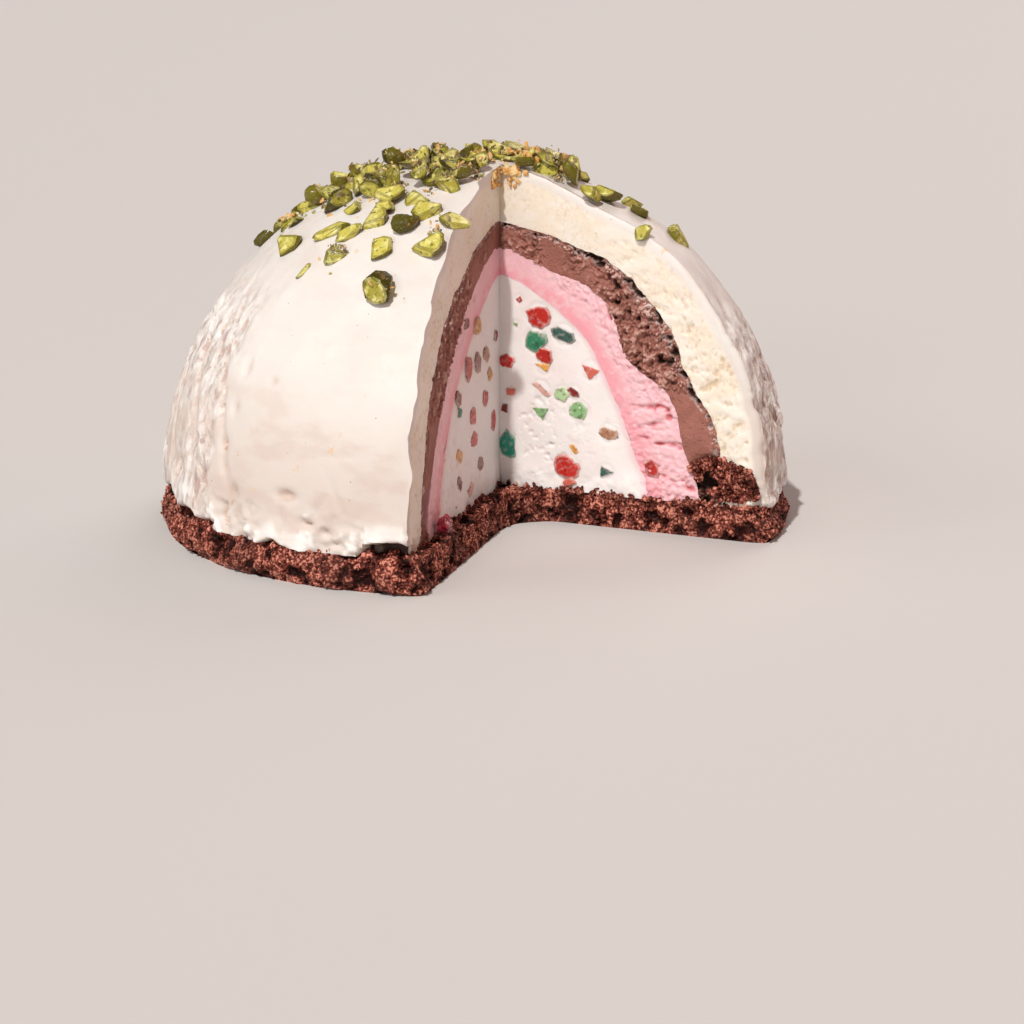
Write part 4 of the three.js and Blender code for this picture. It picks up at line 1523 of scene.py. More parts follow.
DICE = (
    Die(RIGHT, 15, 74, 9.0, 7.5, 10, Fruit.CHERRY, 6),
    Die(RIGHT, 14, 65, 8.6, 7.4, 38, Fruit.EMERALD, 5),
    Die(RIGHT, 24.5, 68, 8.8, 4.2, -18, Fruit.DARK_TEAL, 6),
    Die(RIGHT, 17, 60, 7.0, 5.2, -20, Fruit.CHERRY, 5),
    Die(RIGHT, 2.6, 57, 5.4, 5.4, 20, Fruit.CHERRY, 5),
    Die(RIGHT, 17, 56, 7.0, 3.0, -8, Fruit.ORANGE, 3),
    Die(RIGHT, 35, 56, 7.2, 5.6, -20, Fruit.CORAL, 3),
    Die(RIGHT, 16, 48, 7.4, 2.4, -35, Fruit.PALE_PINK, 4),
    Die(RIGHT, 24, 46.6, 5.4, 5.4, 8, Fruit.PALE_LIME, 5),
    Die(RIGHT, 28.6, 47.6, 5.6, 3.0, -38, Fruit.DARK_CHERRY, 5),
    Die(RIGHT, 4.4, 46, 4.4, 3.0, 12, Fruit.CORAL, 4),
    Die(RIGHT, 16, 39.6, 7.4, 4.8, -8, Fruit.LIME, 3),
    Die(RIGHT, 30.5, 41, 7.6, 6.4, -42, Fruit.LIME, 5),
    Die(RIGHT, 42, 34, 7.4, 4.6, -22, Fruit.TAN, 5),
    Die(RIGHT, 2.9, 26.4, 6.2, 9.8, 8, Fruit.TEAL, 5),
    Die(RIGHT, 2.0, 39.7, 3.0, 3.2, 0, Fruit.DARK_CHERRY, 4),
    Die(RIGHT, 28.6, 27.4, 5.0, 2.0, -48, Fruit.ORANGE, 4),
    Die(RIGHT, 26, 20, 10.0, 7.4, -12, Fruit.CHERRY, 6),
    Die(RIGHT, 27, 15.2, 5.0, 3.6, 20, Fruit.CORAL, 4),
    Die(RIGHT, 41, 20, 5.6, 4.2, 180, Fruit.DARK_TEAL, 3),
    Die(RIGHT, 58.5, 23, 4.8, 6.4, 30, Fruit.CHERRY, 5),
    Die(RIGHT, 7.5, 79.6, 2.4, 2.2, 0, Fruit.CHERRY, 4),
    Die(RIGHT, 6.2, 70.5, 2.4, 1.4, -20, Fruit.LIME, 3),
    Die(LEFT, 37, 61, 5.0, 8.0, 0, Fruit.CHERRY, 5),
    Die(LEFT, 26, 74, 5.4, 5.6, 15, Fruit.ORANGE, 5),
    Die(LEFT, 40, 77, 5.0, 4.0, 0, Fruit.DARK_CHERRY, 4),
    Die(LEFT, 16, 62, 5.6, 5.0, 25, Fruit.TAN, 5),
    Die(LEFT, 26, 61, 5.0, 6.4, -10, Fruit.BROWN, 5),
    Die(LEFT, 50, 53, 6.0, 5.0, 10, Fruit.DARK_CHERRY, 5),
    Die(LEFT, 32.5, 43.5, 7.0, 6.0, 20, Fruit.CHERRY, 4),
    Die(LEFT, 17.5, 47, 5.4, 6.6, -15, Fruit.CHERRY, 5),
    Die(LEFT, 49, 48, 4.6, 3.6, 0, Fruit.EMERALD, 4),
    Die(LEFT, 31.5, 34.6, 7.4, 5.2, 5, Fruit.CHERRY, 5),
    Die(LEFT, 49.5, 32.6, 6.4, 4.6, 30, Fruit.ORANGE, 4),
    Die(LEFT, 4.5, 67, 4.0, 5.0, 0, Fruit.DARK_CHERRY, 4),
    Die(LEFT, 8, 37, 5.6, 7.0, 12, Fruit.CHERRY, 5),
    Die(LEFT, 36, 18.4, 6.6, 4.6, -18, Fruit.PALE_PINK, 4),
    Die(LEFT, 12, 54, 4.8, 4.6, 30, Fruit.ORANGE, 4),
    Die(LEFT, 24, 24.5, 5.6, 5.0, -10, Fruit.BROWN, 5),
    Die(LEFT, 49.5, 23, 5.0, 5.4, 10, Fruit.BROWN, 4),
    Die(LEFT, 53, 15.6, 6.0, 3.6, 0, Fruit.PALE_PINK, 4),
)


@dataclass
class CandiedFruit:
    """The candied pieces, sunk into the core so that the knife left them nearly flush."""

    depth: float = 3.4
    proud: float = 0.12
    ring: int = 28  # points round each outline
    seed: int = 808

    def _outline(self, die: Die, random: np.random.Generator) -> np.ndarray:
        """The rounded outline of one die.

        Args:
            die: The piece.
            random: Where its unevenness comes from.

        Returns:
            (ring, 2) runs and heights from its middle.
        """
        start = random.uniform(0.0, 2 * np.pi) if die.corners != 3 else -np.pi / 2 + 0.2
        corners = np.arange(die.corners) + random.uniform(-0.22, 0.22, die.corners)
        turn = start + 2 * np.pi * corners / die.corners
        reach = random.uniform(0.88, 1.14, die.corners)
        knots = np.stack([np.cos(turn) * reach, np.sin(turn) * reach], axis=1)
        knots = np.vstack([knots, knots[:1]])
        length = np.append(0.0, np.cumsum(np.linalg.norm(np.diff(knots, axis=0), axis=1)))
        at = np.linspace(0.0, length[-1], self.ring, endpoint=False)
        loop = np.stack([np.interp(at, length, knots[:, axis]) for axis in range(2)], axis=1)
        loop = (np.roll(loop, 1, axis=0) + 2 * loop + np.roll(loop, -1, axis=0)) / 4
        loop = loop * (1.0 + 0.05 * random.normal(size=(self.ring, 1)))
        loop = loop * (1.22 * die.width / 2, 1.22 * die.tall / 2)
        tilt = math.radians(die.tilt)
        return loop @ np.array([[math.cos(tilt), math.sin(tilt)], [-math.sin(tilt), math.cos(tilt)]])

    def _add(self, die: Die, random: np.random.Generator, points: list, faces: list, colours: list) -> None:
        """Adds one closed die to the lists.

        Args:
            die: The piece.
            random: Where its unevenness comes from.
            points, faces, colours: The lists that it is added to.
        """
        loop = self._outline(die, random)
        first = len(points)
        crown = random.uniform(0.02, 0.22)
        levels = ((0.4, self.proud + crown), (0.75, self.proud + crown), (0.93, self.proud), (1.0, -0.2))
        levels = levels + ((0.9, -self.depth),)
        for reach, proud in levels:
            for run, height in loop * reach:
                uneven = random.uniform(-0.1, 0.1) if proud > 0.0 else 0.0
                above = max(die.height + height, SPONGE_TOP)
                points.append(on_face(die.side, die.run + run, above, proud + uneven))
        index = np.arange(first, first + len(levels) * self.ring).reshape(len(levels), self.ring)
        closed = np.concatenate([index, index[:, :1]], axis=1)
        faces.extend(grid_faces(closed).tolist() + [index[0].tolist(), index[-1].tolist()])
        shade = random.uniform(0.85, 1.15)
        own = shade * np.array(die.fruit.value)
        milky = 0.6 * own + 0.4 * np.array(Tint.MILKY)
        for level in range(len(levels)):
            colours.extend([[*(own if level < 2 else milky), 1.0]] * self.ring)

    def build(self) -> bpy.types.Object:
        """Makes every die as one piece, with its fruit's colour on each vertex.

        Returns:
            The mesh object.
        """
        random = np.random.default_rng(self.seed)
        points, faces, colours = [], [], []
        for die in DICE:
            self._add(die, random, points, faces, colours)
        piece = make_mesh("candied_fruit_piece", np.array(points), faces)
        colour = piece.data.attributes.new("fruit_colour", "FLOAT_COLOR", "POINT")
        colour.data.foreach_set("color", np.array(colours, dtype=np.float32).ravel())
        return piece


# ---- Repeated small pieces ----


def shape_collection(name: str, shapes: list) -> bpy.types.Collection:
    """Gathers shapes that Geometry Nodes will copy, out of the scene's own collection."""
    shelf = bpy.data.collections.new(name)
    for shape in shapes:
        shelf.objects.link(shape)
    return shelf


def named(sheet: Sheet, label: Source, kind: str) -> bpy.types.NodeSocket:
    """Reads a named attribute of the geometry."""
    made = sheet.add("GeometryNodeInputNamedAttribute", {"Name": label}, data_type=kind)
    return next(s for s in made.outputs if s.name == "Attribute" and s.enabled)


class Instancer:
    """The two Geometry Nodes trees that copy small shapes, each built once."""

    # Inputs of both trees, with their socket types.
    SHARED = {"Shapes": "NodeSocketCollection", "Finish": "NodeSocketMaterial"}
    GEOMETRY = {"Geometry": "NodeSocketGeometry"}

    def __init__(self) -> None:
        """Builds both trees."""
        self.placing = self._placing_tree()
        self.scattering = self._scattering_tree()

    def _placing_tree(self) -> bpy.types.NodeTree:
        """Copies a shape to every point, with the shape, turn and size that the point carries.

        Returns:
            The tree.
        """
        inputs = {**self.GEOMETRY, **self.SHARED}
        tree, sheet, given, out = new_tree("GeometryNodeTree", "placed_shapes", inputs, self.GEOMETRY)
        self._copy(sheet, given, out, {
            "Points": given.outputs["Geometry"],
            "Instance Index": named(sheet, "shape", "INT"),
            "Rotation": named(sheet, "turn", "FLOAT_VECTOR"),
            "Scale": named(sheet, "size", "FLOAT_VECTOR"),
        })
        return tree

    def _scattering_tree(self) -> bpy.types.NodeTree:
        """Scatters shapes over the faces that a mask attribute names.

        Returns:
            The tree.
        """
        inputs = {**self.GEOMETRY, **self.SHARED, "Mask": "NodeSocketString", "Seed": "NodeSocketInt"}
        inputs.update({label: "NodeSocketFloat" for label in ("Density", "Smallest", "Largest")})
        tree, sheet, given, out = new_tree("GeometryNodeTree", "scattered_shapes", inputs, self.GEOMETRY)
        seed = given.outputs["Seed"]
        density = sheet.times(named(sheet, given.outputs["Mask"], "FLOAT"), given.outputs["Density"])
        feeds = {"Mesh": given.outputs["Geometry"], "Density": density, "Seed": seed}
        spread = sheet.add("GeometryNodeDistributePointsOnFaces", feeds, distribute_method="RANDOM")
        turn = sheet.add("FunctionNodeRandomValue", {"Max": (ANY_TURN,) * 3}, data_type="FLOAT_VECTOR")
        feeds = {2: given.outputs["Smallest"], 3: given.outputs["Largest"], "Seed": seed}
        size = sheet.add("FunctionNodeRandomValue", feeds, data_type="FLOAT")
        self._copy(sheet, given, out, {
            "Points": spread.outputs["Points"], "Rotation": turn.outputs[0], "Scale": size.outputs[1],
        })
        return tree

    def _copy(self, sheet: Sheet, given: bpy.types.Node, out: bpy.types.Node, feeds: dict) -> None:
        """Ends a tree: a shape at every point, made into a real mesh with its finish.

        Args:
            sheet: The tree's Sheet.
            given: Its input node.
            out: Its output node.
            feeds: Where the points, their turns and their sizes come from.
        """
        picked = {"Collection": given.outputs["Shapes"], "Separate Children": True, "Reset Children": True}
        shelf = sheet.add("GeometryNodeCollectionInfo", picked).outputs["Instances"]
        copy = sheet.add("GeometryNodeInstanceOnPoints", {"Instance": shelf, "Pick Instance": True, **feeds})
        real = sheet.add("GeometryNodeRealizeInstances", {"Geometry": copy.outputs["Instances"]})
        feeds = {"Geometry": real.outputs["Geometry"], "Material": given.outputs["Finish"]}
        dress = sheet.add("GeometryNodeSetMaterial", feeds)
        sheet.feed(out.inputs["Geometry"], dress.outputs["Geometry"])

    def run(self, tree: bpy.types.NodeTree, name: str, host: bpy.types.Object,
            **values: Source) -> bpy.types.Object:
        """Runs a tree on a host's mesh and keeps the result as a plain mesh.

        Args:
            tree: One of the two trees.
            name: Name of the new piece.
            host: The object whose mesh it starts from; it isn't changed.
            values: The tree's inputs, with _ for a space.

        Returns:
            The new object, at the origin.
        """
        worker = bpy.data.objects.new(name, host.data.copy())
        bpy.context.scene.collection.objects.link(worker)
        modifier = worker.modifiers.new(name, "NODES")
        modifier.node_group = tree
        for item in tree.interface.items_tree:
            label = item.name.replace(" ", "_")
            if item.in_out == "INPUT" and label in values:
                modifier[item.identifier] = values[label]
        graph = bpy.context.evaluated_depsgraph_get()
        mesh = bpy.data.meshes.new_from_object(worker.evaluated_get(graph))
        worker.modifiers.remove(modifier)
        old = worker.data
        worker.data = mesh
        bpy.data.meshes.remove(old)
        return worker


def crumb_shapes(label: str, count: int, seed: int, flat: float = 0.7) -> bpy.types.Collection:
    """A few broken crumbs of unit size, to be scattered.

    Args:
        label: Name of the collection and of its shapes.
        count: How many different crumbs.
        seed: Which crumbs.
        flat: Thickness as a share of the width.

    Returns:
        The collection that holds them.
    """
    random = np.random.default_rng(seed)
    shapes = []
    for number in range(count):
        ball = bmesh.new()
        bmesh.ops.create_icosphere(ball, subdivisions=1, radius=0.5)
        stretch = random.uniform(0.6, 1.25, 3) * (1.0, 1.0, flat)
        for vertex in ball.verts:
            vertex.co = Vector(np.array(vertex.co) * stretch * random.uniform(0.7, 1.2))
        mesh = bpy.data.meshes.new(f"{label}_{number:02d}")
        ball.to_mesh(mesh)
        ball.free()
        shapes.append(bpy.data.objects.new(mesh.name, mesh))
    return shape_collection(label, shapes)


def point_host(name: str, rows: list) -> bpy.types.Object:
    """A mesh of loose points that carry what each copy is like.

    Args:
        name: Name of the mesh.
        rows: For each copy its place, turn, size, shape and tint.

    Returns:
        The object, not linked to the scene.
    """
    mesh = bpy.data.meshes.new(name)
    mesh.from_pydata([tuple(row[0] * MM) for row in rows], [], [])
    host = bpy.data.objects.new(name, mesh)
    for label, kind, part in (("turn", "FLOAT_VECTOR", 1), ("size", "FLOAT_VECTOR", 2)):
        attribute = mesh.attributes.new(label, kind, "POINT")
        values = np.array([list(row[part]) for row in rows], dtype=np.float32)
        attribute.data.foreach_set("vector", values.ravel() * (MM if label == "size" else 1.0))
    shape = mesh.attributes.new("shape", "INT", "POINT")
    shape.data.foreach_set("value", [row[3] for row in rows])
    tint = mesh.attributes.new("tint", "FLOAT", "POINT")
    tint.data.foreach_set("value", np.array([row[4] for row in rows], dtype=np.float32))
    return host


# ---- Pistachios ----


@dataclass(frozen=True)
class Nut:
    """One listed piece of pistachio: angles in degrees, lengths in millimetres."""

    polar: float  # from the dome's top
    azimuth: float
    size: tuple
    spin: float
    shape: int
    tint: float  # 0 yellow-green and fresh, 1 dark


# Kernel shapes: 0-3 cut flat on top, 4-6 wedges, 7-8 whole ends, 9-10 slivers.
SINGLE_NUTS = (
    Nut(42.4, 175, (10.5, 7.0, 5.0), 20, 7, 0.75),
    Nut(40.0, -155, (12.5, 10.5, 6.5), 160, 0, 0.3),
    Nut(35.7, 172.4, (12.0, 9.0, 6.0), 60, 1, 0.5),
    Nut(37.8, -176, (9.5, 8.5, 5.5), 100, 6, 1.0),
    Nut(35.0, -171, (8.5, 7.5, 5.5), 30, 5, 1.0),
    Nut(43.5, -138.9, (8.5, 4.4, 3.2), 40, 9, 0.5),
    Nut(39.7, -131.8, (10.0, 11.0, 6.5), 75, 5, 1.0),
    Nut(33.8, -140.6, (15.5, 7.5, 5.2), 10, 0, 0.2),
    Nut(34.6, -133.0, (13.5, 6.0, 4.6), 350, 3, 0.15),
    Nut(27.8, -158.3, (13.5, 12.0, 7.5), 30, 8, 0.85),
    Nut(31.7, -179.4, (11.0, 9.0, 6.0), 110, 1, 0.3),
    Nut(27.3, -144.4, (11.0, 9.5, 6.0), 80, 4, 0.35),
    Nut(29.8, -127.6, (13.0, 11.0, 6.6), 100, 2, 0.35),
    Nut(26.6, -126.0, (9.0, 7.5, 5.5), 20, 6, 0.2),
    Nut(37.0, -117.8, (12.0, 9.0, 5.5), 20, 1, 0.15),
    Nut(40.6, -115.8, (11.5, 9.5, 6.4), 290, 2, 0.3),
    Nut(30.1, -114.4, (12.0, 11.5, 6.8), 250, 8, 0.75),
    Nut(35.6, -102.9, (12.5, 11.5, 6.8), 70, 2, 0.25),
    Nut(26.3, -107.9, (11.5, 10.0, 6.2), 60, 0, 0.2),
    Nut(30.4, -103.0, (9.5, 12.0, 6.2), 20, 5, 1.0),
    Nut(28.4, -96.5, (12.5, 8.5, 5.2), 330, 3, 0.1),
    Nut(22.5, -117.0, (12.0, 10.0, 6.0), 120, 4, 0.4),
    Nut(23.5, -131.0, (11.5, 9.5, 6.0), 220, 0, 0.15),
    Nut(46.8, -112.4, (13.0, 12.0, 7.5), 60, 8, 1.0),
    Nut(23.7, -20.0, (11.5, 9.0, 6.0), 20, 5, 0.7),
    Nut(25.8, -8.1, (12.5, 10.5, 6.8), 70, 2, 0.55),
    Nut(30.5, 4.0, (11.0, 8.5, 6.0), 30, 4, 0.4),
    Nut(34.8, 9.4, (13.0, 10.0, 7.2), 330, 6, 0.75),
    Nut(32.5, -4.0, (11.0, 9.0, 6.0), 200, 1, 0.5),
    Nut(41.1, -4.3, (13.0, 11.0, 7.5), 300, 0, 0.1),
    Nut(21.0, 17.0, (10.5, 8.5, 6.0), 60, 6, 0.7),
    Nut(12.5, -5.0, (12.5, 9.5, 6.2), 180, 7, 0.3),
    Nut(9.5, -14.0, (11.0, 8.5, 5.6), 20, 1, 0.3),
)


def plan_on_dome(polar: float, azimuth: float) -> np.ndarray:
    """The plan place on the vanilla dome at an angle from its top and an azimuth, in degrees."""
    return VANILLA_DOME.half_width * math.sin(math.radians(polar)) * plan_direction(azimuth)


class HeightMap:
    """The height of whatever lies on the dome, over a square grid in plan."""

    NOTHING = -1000.0  # the height where nothing can rest

    def __init__(self, half_width: float = 92.0, cell: float = 0.5) -> None:
        """Starts with the bare dome; the open wedge is as deep as can be.

        Args:
            half_width: Half the side of the square that it covers.
            cell: Distance between its points.
        """
        self.cell = cell
        self.half_width = half_width
        axis = np.arange(-half_width, half_width + cell / 2, cell)
        x, y = np.meshgrid(axis, axis, indexing="ij")
        reach = VANILLA_DOME.half_width + 0.2
        self.z = DOME_CENTRE_Z + np.sqrt(np.maximum(reach**2 - x**2 - y**2, 0.0))
        inside = depth_in_wedge(np.stack([x.ravel(), y.ravel()], axis=1)).reshape(x.shape) > 0.0
        self.z[inside] = self.NOTHING

    def settle(self, place: np.ndarray, turn: np.ndarray, half_size: np.ndarray, sink: float) -> float:
        """Lets an ellipsoid down until it rests, and adds its top to the map.

        Args:
            place: Plan place of its middle.
            turn: 3x3 rotation matrix.
            half_size: Its three half axes.
            sink: How far it then sinks in.

        Returns:
            The height of its middle.
        """
        form = turn @ np.diag(1.0 / np.square(half_size)) @ turn.T
        reach = float(np.max(half_size))
        low = np.floor((place - reach + self.half_width) / self.cell).astype(int)
        high = np.ceil((place + reach + self.half_width) / self.cell).astype(int)
        low, high = np.clip(low, 0, len(self.z) - 1), np.clip(high, 1, len(self.z))
        window = (slice(low[0], high[0]), slice(low[1], high[1]))
        dx = np.arange(low[0], high[0])[:, None] * self.cell - self.half_width - place[0]
        dy = np.arange(low[1], high[1])[None, :] * self.cell - self.half_width - place[1]
        linear = form[0, 2] * dx + form[1, 2] * dy
        constant = form[0, 0] * dx**2 + 2 * form[0, 1] * dx * dy + form[1, 1] * dy**2 - 1.0
        under_root = linear**2 - form[2, 2] * constant
        covered = under_root > 0.0
        root = np.sqrt(np.where(covered, under_root, 0.0))
        bottom, top = (-linear - root) / form[2, 2], (-linear + root) / form[2, 2]
        height = float(np.max(np.where(covered, self.z[window] - bottom, self.NOTHING))) - sink
        self.z[window] = np.where(covered, np.maximum(self.z[window], height + top), self.z[window])
        return height

    def height_at(self, place: np.ndarray) -> float:
        """The height at one plan place."""
        at = np.round((place + self.half_width) / self.cell).astype(int)
        return float(self.z[at[0], at[1]])


@dataclass
class Pistachios:
    """Chopped pistachios: a heap on the dome's top, and single pieces that rolled down."""

    instancer: Instancer
    heap_count: int = 540
    crown_count: int = 90
    back_count: int = 34
    crumb_count: int = 900
    corner_crumbs: int = 60
    length: tuple = (8.6, 13.0)
    width: tuple = (7.0, 10.0)
    thickness: tuple = (5.2, 7.6)
    edge_margin: float = 2.0  # distance kept from the cut faces
    top_limit: float = 133.0
    seed: int = 2024

    NUT_ON_CUT = (54.2, 106.4)  # the piece on the right cut face: along the face, and height

    # How far the heap reaches down from the dome's top: azimuth and angle from the top, in degrees.
    HEAP_EDGE = (
        (-180, 36), (-165, 33), (-155, 29.5), (-144, 26), (-135, 23), (-118, 21), (-105, 19.5), (-90, 16),
        (-50, 14.5), (-30, 17), (-10, 19), (25, 22), (60, 24), (120, 28), (180, 35),
    )

    # Cuts of each kernel shape: (direction, distance from the middle as a share of the reach).
    CUTS = (
        (((0.10, 0.05, 1.0), 0.25), ((1.0, 0.2, 0.2), 0.55), ((-0.5, -0.8, 0.3), 0.5)),
        (((-0.1, 0.1, 1.0), 0.10), ((-1.0, 0.4, 0.1), 0.45), ((0.9, -0.3, 0.0), 0.7)),
        (((0.0, -0.25, 1.0), 0.30), ((0.8, 0.7, 0.3), 0.40), ((-0.9, 0.2, 0.2), 0.55)),
        (((0.15, 0.2, 1.0), 0.0), ((-0.9, 0.1, 0.3), 0.6), ((0.7, -0.6, 0.1), 0.6)),
        (((0.5, 0.3, 0.8), 0.15), ((-0.7, 0.4, 0.6), 0.2), ((0.1, -1.0, 0.2), 0.4)),
        (((0.6, -0.5, 0.7), 0.2), ((-0.7, -0.3, 0.6), 0.25), ((0.2, 1.0, 0.2), 0.35)),
        (((0.2, 0.7, 0.7), 0.12), ((0.9, -0.3, 0.3), 0.3), ((-0.8, -0.5, 0.4), 0.45)),
        (((1.0, 0.1, 0.25), 0.25), ((-0.2, 0.9, 0.5), 0.45)),
        (((-0.8, 0.3, 0.5), 0.4), ((0.3, -0.9, -0.1), 0.6)),
        (((0.1, 0.9, 0.5), 0.0), ((0.1, -0.7, 0.9), 0.1), ((1.0, 0.0, 0.3), 0.5)),
        (((0.0, 0.5, 1.0), -0.1), ((-0.1, -1.0, 0.6), 0.15)),
    )

    def _kernel(self, number: int, cuts: tuple, random: np.random.Generator) -> bpy.types.Object:
        """One kernel of unit size: a rounded nut with flat knife cuts.

        Args:
            number: Its place in the list of shapes.
            cuts: Directions and distances of its cuts.
            random: Where its unevenness comes from.

        Returns:
            The mesh object, with the face attribute `flesh`.
        """
        nut = bmesh.new()
        bmesh.ops.create_icosphere(nut, subdivisions=2, radius=0.5)
        place = np.array([v.co for v in nut.verts])
        swell = 1.0 + 0.15 * lumps(place + 7.0 * number, 0.4, 900 + number)
        for vertex, scale in zip(nut.verts, swell):
            vertex.co = vertex.co * scale
        flesh = nut.faces.layers.float.new("flesh")
        for direction, share in cuts:
            normal = Vector(direction).normalized()
            geometry = nut.verts[:] + nut.edges[:] + nut.faces[:]
            cut = bmesh.ops.bisect_plane(
                nut, geom=geometry, plane_co=normal * (0.5 * share), plane_no=normal, clear_outer=True
            )
            edges = [part for part in cut["geom_cut"] if isinstance(part, bmesh.types.BMEdge)]
            for face in bmesh.ops.edgeloop_fill(nut, edges=edges)["faces"]:
                face[flesh] = 1.0
        opened = [face for face in nut.faces if face[flesh] > 0.5 and face.calc_area() > 0.05]
        for face in bmesh.ops.inset_individual(nut, faces=opened, thickness=0.085, depth=0.012)["faces"]:
            face[flesh] = 0.45
        for vertex in nut.verts:
            vertex.co += Vector(random.normal(0.0, 0.012, 3))
        bmesh.ops.recalc_face_normals(nut, faces=nut.faces[:])
        mesh = bpy.data.meshes.new(f"kernel_{number:02d}")
        nut.to_mesh(mesh)
        nut.free()
        mesh.shade_smooth()
        mesh.set_sharp_from_angle(angle=math.radians(38))
        return bpy.data.objects.new(mesh.name, mesh)

    def _turn(self, place: np.ndarray, spin: float, tilt: np.ndarray) -> Matrix:
        """Stands a piece on the dome's slope, spun about the slope's normal and then tilted.

        Args:
            place: Its plan place, in millimetres.
            spin: Turn about the slope's normal, in degrees.
            tilt: Two tilts off the slope, in radians.

        Returns:
            The 3x3 rotation.
        """
        rise = math.sqrt(max(VANILLA_DOME.half_width**2 - place[0]**2 - place[1]**2, 1.0))
        out = Vector((place[0], place[1], rise))
        slope = Vector((0, 0, 1)).rotation_difference(out.normalized())
        spun = Quaternion((0, 0, 1), math.radians(spin))
        tilted = Quaternion((1, 0, 0), tilt[0]) @ Quaternion((0, 1, 0), tilt[1])
        return (slope @ spun @ tilted).to_matrix()

    def _settle_all(self, heap: HeightMap, random: np.random.Generator) -> list:
        """Places every nut, first the single ones, then the heap and its crown.

        Args:
            heap: The heights so far.
            random: Where the heap's places come from.

        Returns:
            Rows of place, turn, size, shape and tint.
        """
        rows = []

        def settle(polar: float, azimuth: float, size: np.ndarray, spin: float, tilt: np.ndarray,
                   shape: int, tint: float, sink: float = 0.22) -> None:
            """Lets one nut down and stores it, unless it would rise above the heap's limit.

            Args:
                polar, azimuth: Where it lies on the dome, in degrees.
                size: Its length, width and thickness.
                spin: Turn about the slope's normal, in degrees.
                tilt: Two tilts off the slope, in radians.
                shape: Number of its kernel shape.
                tint: 0 fresh to 1 dark.
                sink: How far it sinks in, as a share of its thickness.
            """
            plan = plan_on_dome(polar, azimuth)
            turn = self._turn(plan, spin, tilt)
            before = heap.z.copy()
            height = heap.settle(plan, np.array(turn), 0.47 * size, sink * size[2])
            rise = math.hypot(*plan, height - DOME_CENTRE_Z) + 0.4 * size[2] - VANILLA_DOME.half_width
            highest = np.interp(polar, (12.0, 24.0, 36.0), (9.5, 7.5, 6.2))
            if height + 0.4 * size[2] > self.top_limit or rise > highest:
                heap.z = before
                return
            rows.append((np.append(plan, height), turn.to_euler(), size, shape, tint))

        for nut in SINGLE_NUTS:
            settle(nut.polar, nut.azimuth, np.array(nut.size), nut.spin, random.uniform(-0.32, 0.32, 2),
                   nut.shape, nut.tint, 0.34)
        out_of_cut = Vector((0, 0, 1)).rotation_difference(Vector((*RIGHT.into_wedge, 0.25)))
        on_cut = on_face(RIGHT, *self.NUT_ON_CUT, 0.8)
        rows.append((on_cut, out_of_cut.to_euler(), np.array((8.0, 5.4, 4.6)), 3, 0.6))

        def pour(count: int, reach: Callable, tilt: float) -> None:
            """Drops random nuts over the top of the dome.

            Args:
                count: How many.
                reach: Gives how far down they may lie at an azimuth, in degrees.
                tilt: The most that they lean off the slope, in radians.
            """
            left = count
            while left > 0:
                azimuth = random.uniform(-180.0, 180.0)
                limit = reach(azimuth)
                cosine = random.uniform(math.cos(math.radians(limit)), 1.0)
                polar = math.degrees(math.acos(cosine))
                plan = plan_on_dome(polar, azimuth)
                if depth_in_wedge(plan[None])[0] > -self.edge_margin - 1.5:
                    continue
                left -= 1
                size = np.array([random.uniform(*self.length), random.uniform(*self.width),
                                 random.uniform(*self.thickness)])
                settle(polar, azimuth, size, random.uniform(0, 360), random.uniform(-tilt, tilt, 2),
                       int(random.integers(len(self.CUTS))), float(random.beta(1.2, 1.2)))

        pour(self.heap_count, self._heap_reach, 0.7)
        pour(self.crown_count, lambda azimuth: 0.62 * self._heap_reach(azimuth), 0.9)
        pour(self.back_count, self._back_reach, 0.3)
        return rows

    def _heap_reach(self, azimuth: float) -> float:
        """How far the heap reaches from the dome's top towards an azimuth, in degrees."""
        return float(np.interp(azimuth, *zip(*self.HEAP_EDGE)))

    def _back_reach(self, azimuth: float) -> float:
        """How far single nuts have rolled down at the back; none at the front, where each is placed."""
        return 46.0 if azimuth > 25.0 or azimuth < -176.0 else 14.0

    def build(self, finish: bpy.types.Material, crumb_finish: bpy.types.Material) -> tuple:
        """Makes the nuts and the papery crumbs between them.

        Args:
            finish: The nuts' finish.
            crumb_finish: The crumbs' finish.

        Returns:
            The nuts' and the crumbs' mesh objects.
        """
        random = np.random.default_rng(self.seed)
        heap = HeightMap()
        shapes = [self._kernel(number, cuts, random) for number, cuts in enumerate(self.CUTS)]
        kernels = shape_collection("kernels", shapes)
        rows = self._settle_all(heap, random)
        host = point_host("nut_places", rows)
        nuts = self.instancer.run(
            self.instancer.placing, "pistachio_pieces", host, Shapes=kernels, Finish=finish
        )
        crumbs = self._crumbs(heap, random, crumb_finish)
        LOG.info("%d nuts", len(rows))
        return nuts, crumbs

    def _crumbs(self, heap: HeightMap, random: np.random.Generator,
                finish: bpy.types.Material) -> bpy.types.Object:
        """Skins and golden crumbs, which lie on and between the nuts.

        Args:
            heap: The heights of the nuts.
            random: Where the crumbs' places come from.
            finish: Their finish.

        Returns:
            The crumbs' mesh object.
        """
        rows = []

